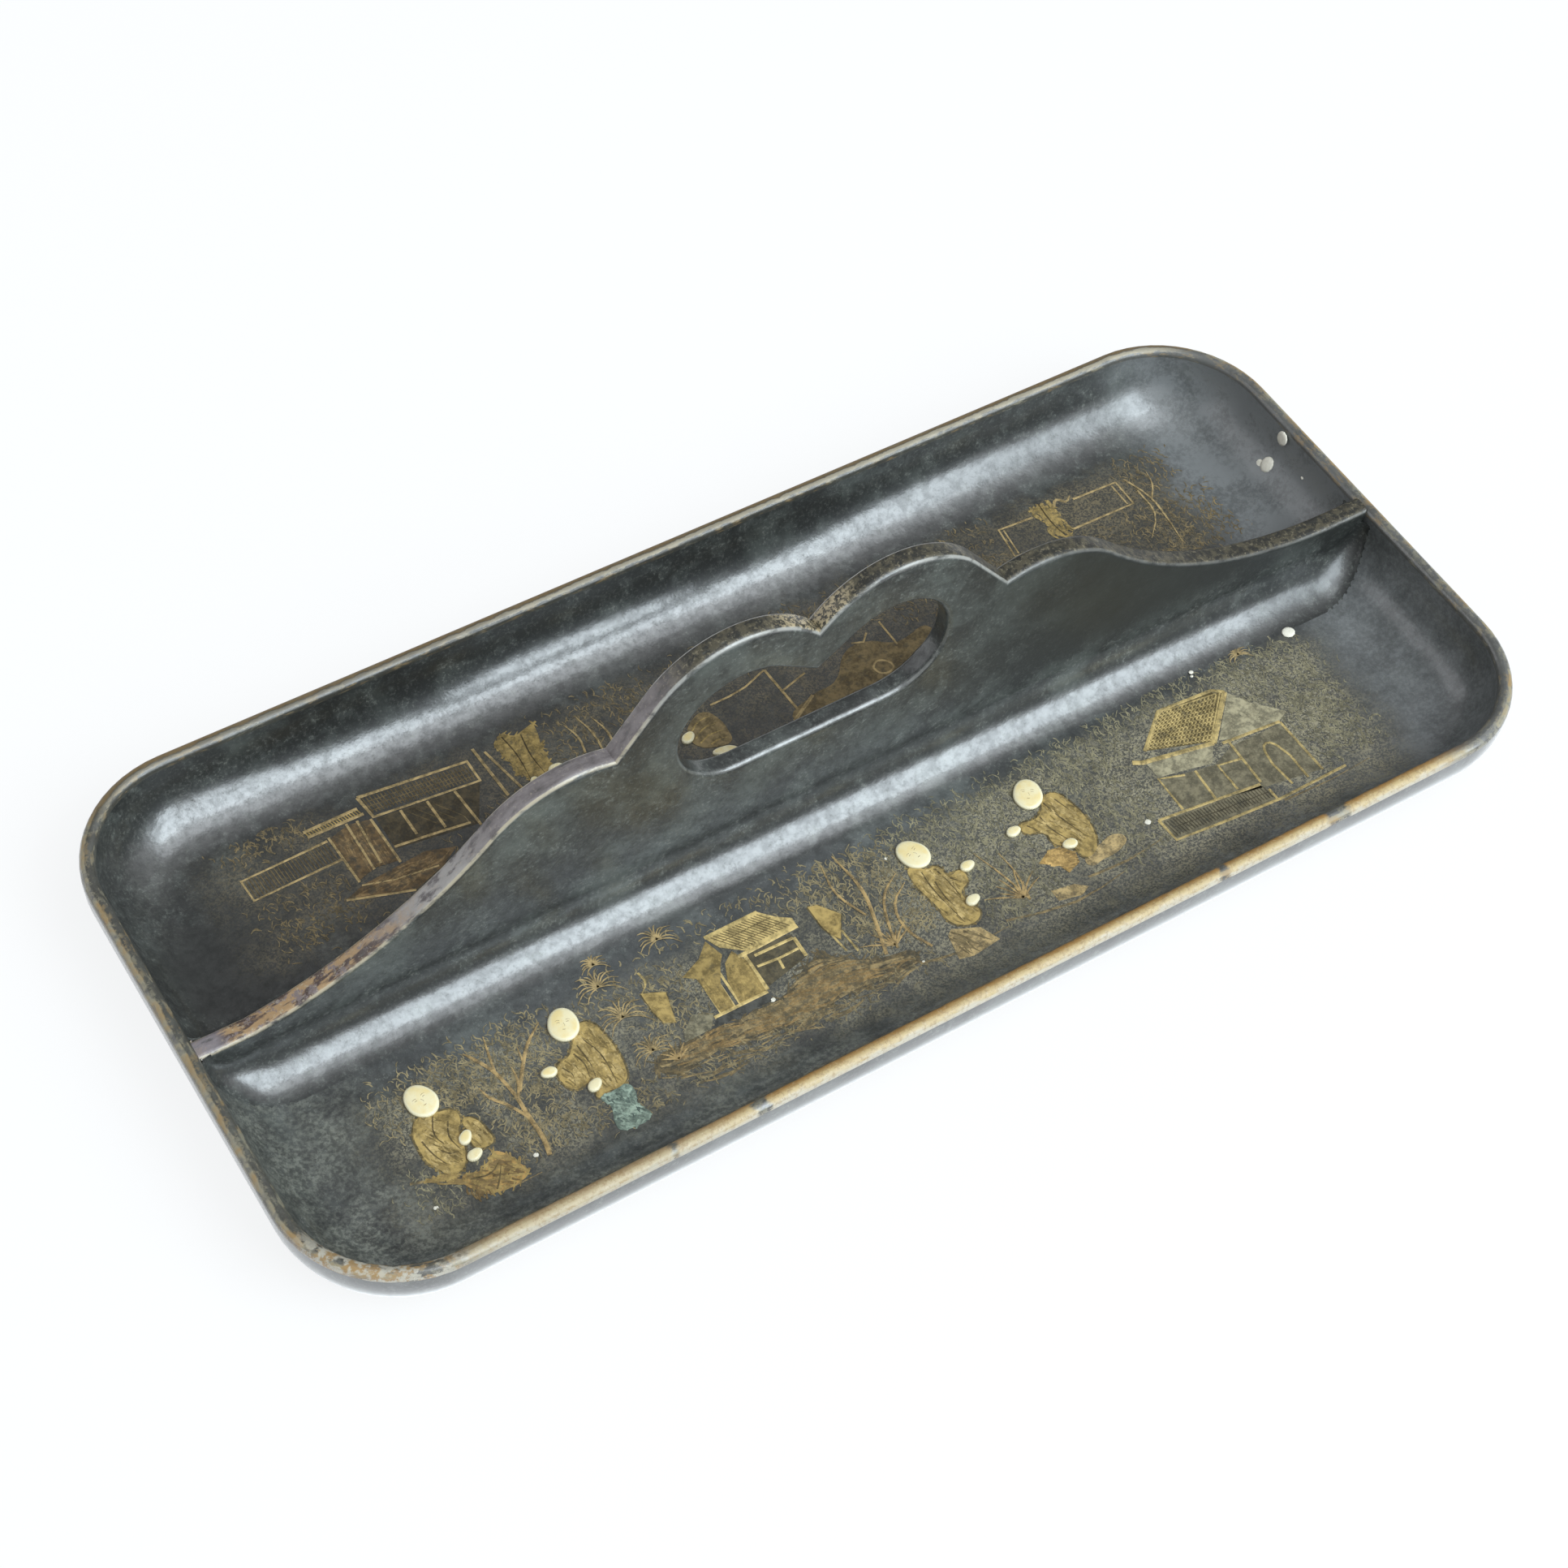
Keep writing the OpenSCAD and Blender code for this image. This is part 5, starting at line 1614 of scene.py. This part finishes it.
            folds.brush(*points, width=0.34)
        folds.paint("rear_fold_lines", (0.085, 0.06, 0.026), 0.5, lift=0.12)

    def middle_house(self):
        """The house behind the hand hole: a stair, a broad brown bank and a ring on it."""
        look = self.look
        bank = self.layer("middle_bank")
        bank.shape((7, 21), (14.4, 25.2), (20.6, 26), (28, 32.4), (33.3, 32.4), (39.1, 29), (48.6, 28.6),
                   (42.4, 25), (32.8, 21.6), (23.3, 19.4), (13.2, 18.4))
        bank.paint("bank_red_brown", shade(look.brown, 0.66), 0.6, lift=0.0)
        hall = self.layer("middle_house")
        for width, *points in ((0.5, (-7.2, 34), (-2.4, 34), (2.4, 34.6), (8.5, 36.7)),
                               (0.62, (8.6, 36.7), (9.3, 23.4)), (0.5, (9.2, 29.6), (16.2, 31.5)),
                               (0.5, (39, 36), (39.1, 28.2)),
                               (0.5, (34.7, 34.6), (32.7, 32.6), (30, 33.6)),
                               (0.8, (7, 21), (14.4, 25.2))):
            hall.line(*points, width=width)
        hall.brush((30.6, 25.2), (32.2, 26.4), (34.2, 25.4), (34.9, 23.4), (33, 22.4), (31, 23.4),
                   (30.6, 25.2), width=0.5, tip=1.0)
        hall.paint("middle_house_gold", shade(look.brown, 1.35), 0.5, lift=0.06)

    def gate_and_trees(self):
        look = self.look
        gate = self.layer("gate")
        for width, *points in ((0.62, (88.2, 45.1), (78.9, 45.7), (77.7, 36.9), (88.3, 36.5)),
                               (0.62, (100, 45.2), (112.1, 44.7), (112, 37.1), (94.8, 37.4)),
                               (0.4, (110.6, 44.2), (110.6, 37.6)), (0.4, (79.9, 45), (79, 37.4))):
            gate.line(*points, width=width)
        gate.brush((94.6, 45.4), (96.4, 47), (98, 45.4), (100, 46.6), width=0.7)
        gate.paint("gate_gold", shade(look.brown, 1.25), 0.52)
        trees = self.layer("trees")
        trees.brush((114.4, 44.5), (116.6, 37.1), (116.4, 30), (115.2, 21.6), width=0.5)
        trees.brush((115.2, 39.9), (114.6, 32), (109.3, 25.9), width=0.42)
        trees.brush((116.6, 36), (119.6, 40), (120.6, 44), width=0.4)
        trees.line((-59.2, 49), (-58.3, 34), width=0.7)
        trees.line((-57.2, 47), (-54.6, 33.6), width=0.6)
        for x, low, high in ((-34.6, 33, 46), (-31.6, 34, 44), (-38, 36, 45)):
            trees.brush((x, low), (x + 0.7, (low + high) / 2), (x - 0.5, high), width=0.5)
        trees.paint("rear_tree_gold", shade(look.brown, 1.25), 0.6, lift=0.1)
        twigs = self.layer("twigs", True)
        for area in ((-119, 44, -99, 51, 110), (-118, 19, -98, 34, 200, 10), (-44, 30, -18, 49, 210),
                     (-30, 38, 30, 50, 190), (30, 36, 78, 50, 190), (44, 27, 76, 37, 110),
                     (110, 17, 130, 34, 300, 20), (113, 36, 128, 50, 110), (-74, 20, -52, 32, 90),
                     (78, 26, 112, 35, 120)):
            twigs.thicket(*area)
        twigs.paint("rear_twig_olive", (0.235, 0.18, 0.092), 0.64)


class PENTRAY_OT_specks(bpy.types.Operator):
    """Add the small pale specks of age on the floors and on one end wall"""
    bl_idname = "pentray.specks"
    bl_label = "Pale specks"

    # Place in millimetres and width of each speck
    spots = (((120.2, -12.9, 3.6), 3.4), ((146.2, 27.6, 17.2), 4.0), ((143.7, 27.9, 9.2), 4.2),
             ((143.0, 29.8, 8.0), 2.6), ((146.1, 18.1, 12.9), 1.3), ((59.9, -40.8, 3.5), 1.6),
             ((93.1, -11.6, 3.9), 1.2), ((4.4, -20.6, 3.5), 0.9), ((-96.2, -47, 3.5), 1.2),
             ((-119, -47.6, 3.5), 1.1), ((-35.8, -39.2, 3.5), 1.3), ((-3.2, -47, 3.5), 0.9),
             ((-11.8, 45, 3.5), 1.0), ((92.8, -12.4, 3.5), 0.8))

    end_wall_from = 140
    steep_wall_from = 15

    def execute(self, context):
        pieces = []
        for place, wide in self.spots:
            start_clean()
            bpy.ops.mesh.primitive_ico_sphere_add(subdivisions=2, radius=wide * MM / 2)
            obj = bpy.context.object
            wall = place[0] > self.end_wall_from
            obj.scale = (0.18, 0.85, 1.0) if wall else (1.0, 0.9, 0.16)
            if wall:
                obj.rotation_euler = (0, math.radians(8 if place[2] > self.steep_wall_from else 35), 0)
            obj.location = [c * MM for c in place]
            bpy.ops.object.transform_apply(location=True, rotation=True, scale=True)
            pieces.append(obj)
        only(pieces[0])
        for piece in pieces:
            piece.select_set(True)
        bpy.ops.object.join()
        specks = done(bpy.context.object, "pale_specks")
        finish_piece(specks, "shell_lacquer", speck_material())
        return {"FINISHED"}


class PENTRAY_OT_stage(bpy.types.Operator):
    """Set the pale floor, the soft light and the camera"""
    bl_idname = "pentray.stage"
    bl_label = "Stage"

    aim = (0, 0, 0.02)
    floor_size = 6.0
    floor_glow = (0.985, 0.995, 1.0, 1.0)
    glow_share = 0.86
    sky_tint = (0.97, 0.985, 1.0, 1.0)
    sky_bright_side = (0.31, -0.62, 0.72)
    sensor_width = 36.0
    nearest_seen = 0.01

    def floor_material(self, stage):
        material = bpy.data.materials.new("pale_floor")
        material.use_nodes = True
        tree = material.node_tree
        shader = tree.nodes["Principled BSDF"]
        feed(shader, Base_Color=(*stage.paper, 1.0), Roughness=0.9)
        rays = node(tree, "ShaderNodeLightPath").outputs
        seen = highest(Field(tree, rays["Is Camera Ray"]), rays["Is Glossy Ray"])
        glow = node(tree, "ShaderNodeEmission", {"Color": self.floor_glow, "Strength": 1.0})
        parts = {0: seen * self.glow_share, 1: shader.outputs[0], 2: glow.outputs[0]}
        mixed = node(tree, "ShaderNodeMixShader", parts)
        tree.links.new(mixed.outputs[0], tree.nodes["Material Output"].inputs["Surface"])
        return material

    def soft_light(self, name, place, size, power, tint):
        """A large lamp that looks at the middle of the tray."""
        start_clean()
        bpy.ops.object.light_add(type="AREA", location=place)
        lamp = bpy.context.object
        lamp.name = name
        lamp.data.shape = "RECTANGLE"
        lamp.data.size, lamp.data.size_y = size
        lamp.data.energy = power
        lamp.data.color = tint
        toward_tray = Vector(self.aim) - Vector(place)
        lamp.rotation_euler = toward_tray.to_track_quat("-Z", "Y").to_euler()

    def execute(self, context):
        scene = context.scene
        stage = scene.pen_tray.stage
        start_clean()
        bpy.ops.mesh.primitive_plane_add(size=self.floor_size, location=(0, 0, 0))
        ground = bpy.context.object
        ground.name = "pale_floor"
        ground.data.materials.append(self.floor_material(stage))

        world = bpy.data.worlds.new("soft_room")
        scene.world = world
        world.use_nodes = True
        tree = world.node_tree
        sky = tree.nodes["Background"]
        direction = Field(tree, node(tree, "ShaderNodeTexCoord").outputs["Generated"])
        glow = direction.vector("DOT_PRODUCT", self.sky_bright_side).step(0.25, 1.0)
        bright = 0.36 + glow * 1.5
        feed(sky, Color=self.sky_tint, Strength=bright * stage.room)

        power = stage.window_power
        self.soft_light("window", (0.52, -1.10, 0.98), (1.0, 1.1), power, (0.82, 0.935, 1.0))
        self.soft_light("window_top", (0.34, -0.62, 1.62), (1.3, 0.8), 0.34 * power, (0.88, 0.95, 1.0))
        self.soft_light("bounce", (-1.4, 0.8, 0.7), (2.4, 1.6), 0.4 * power, (0.96, 0.97, 1.0))

        bpy.ops.object.camera_add(location=stage.eye)
        camera = bpy.context.object
        camera.name = "camera"
        az, el, roll = stage.heading, stage.pitch, stage.roll
        back = Vector((math.sin(az) * math.cos(el), -math.cos(az) * math.cos(el), math.sin(el)))
        right = Vector((math.cos(az), math.sin(az), 0))
        up = back.cross(right)
        turned_right = math.cos(roll) * right + math.sin(roll) * up
        turned_up = math.cos(roll) * up - math.sin(roll) * right
        turn = Matrix((turned_right, turned_up, back)).transposed()
        camera.matrix_world = Matrix.Translation(stage.eye) @ turn.to_4x4()
        camera.data.lens = stage.lens
        camera.data.sensor_width = self.sensor_width
        camera.data.clip_start = self.nearest_seen
        scene.camera = camera
        scene.view_settings.view_transform = "Standard"
        return {"FINISHED"}


class PENTRAY_PT_panel(bpy.types.Panel):
    """Buttons and settings of the pen tray"""
    bl_idname = "PENTRAY_PT_panel"
    bl_label = "Lacquer pen tray"
    bl_space_type = "VIEW_3D"
    bl_region_type = "UI"
    bl_category = "Pen Tray"

    def draw(self, context):
        tray = context.scene.pen_tray
        for step_class in STEPS:
            self.layout.operator(step_class.bl_idname)
        for group in (tray.sizes, tray.look, tray.stage):
            box = self.layout.box()
            for key in group.__annotations__:
                box.prop(group, key)


STEPS = (PENTRAY_OT_shell, PENTRAY_OT_board, PENTRAY_OT_fillets, PENTRAY_OT_plaques,
         PENTRAY_OT_front_scene, PENTRAY_OT_rear_scene, PENTRAY_OT_specks, PENTRAY_OT_stage)
CLASSES = (PenTraySizes, PenTrayLook, PenTrayStage, PenTray) + STEPS + (PENTRAY_PT_panel,)


def register():
    for made in CLASSES:
        bpy.utils.register_class(made)
    bpy.types.Scene.pen_tray = PointerProperty(type=PenTray)


def unregister():
    del bpy.types.Scene.pen_tray
    for made in reversed(CLASSES):
        bpy.utils.unregister_class(made)


def main():
    register()
    bpy.ops.pentray.shell()
    bpy.ops.pentray.board()
    bpy.ops.pentray.fillets()
    bpy.ops.pentray.plaques()
    bpy.ops.pentray.front_scene()
    bpy.ops.pentray.rear_scene()
    bpy.ops.pentray.specks()
    bpy.ops.pentray.stage()
    start_clean()


if __name__ == "__main__":
    main()
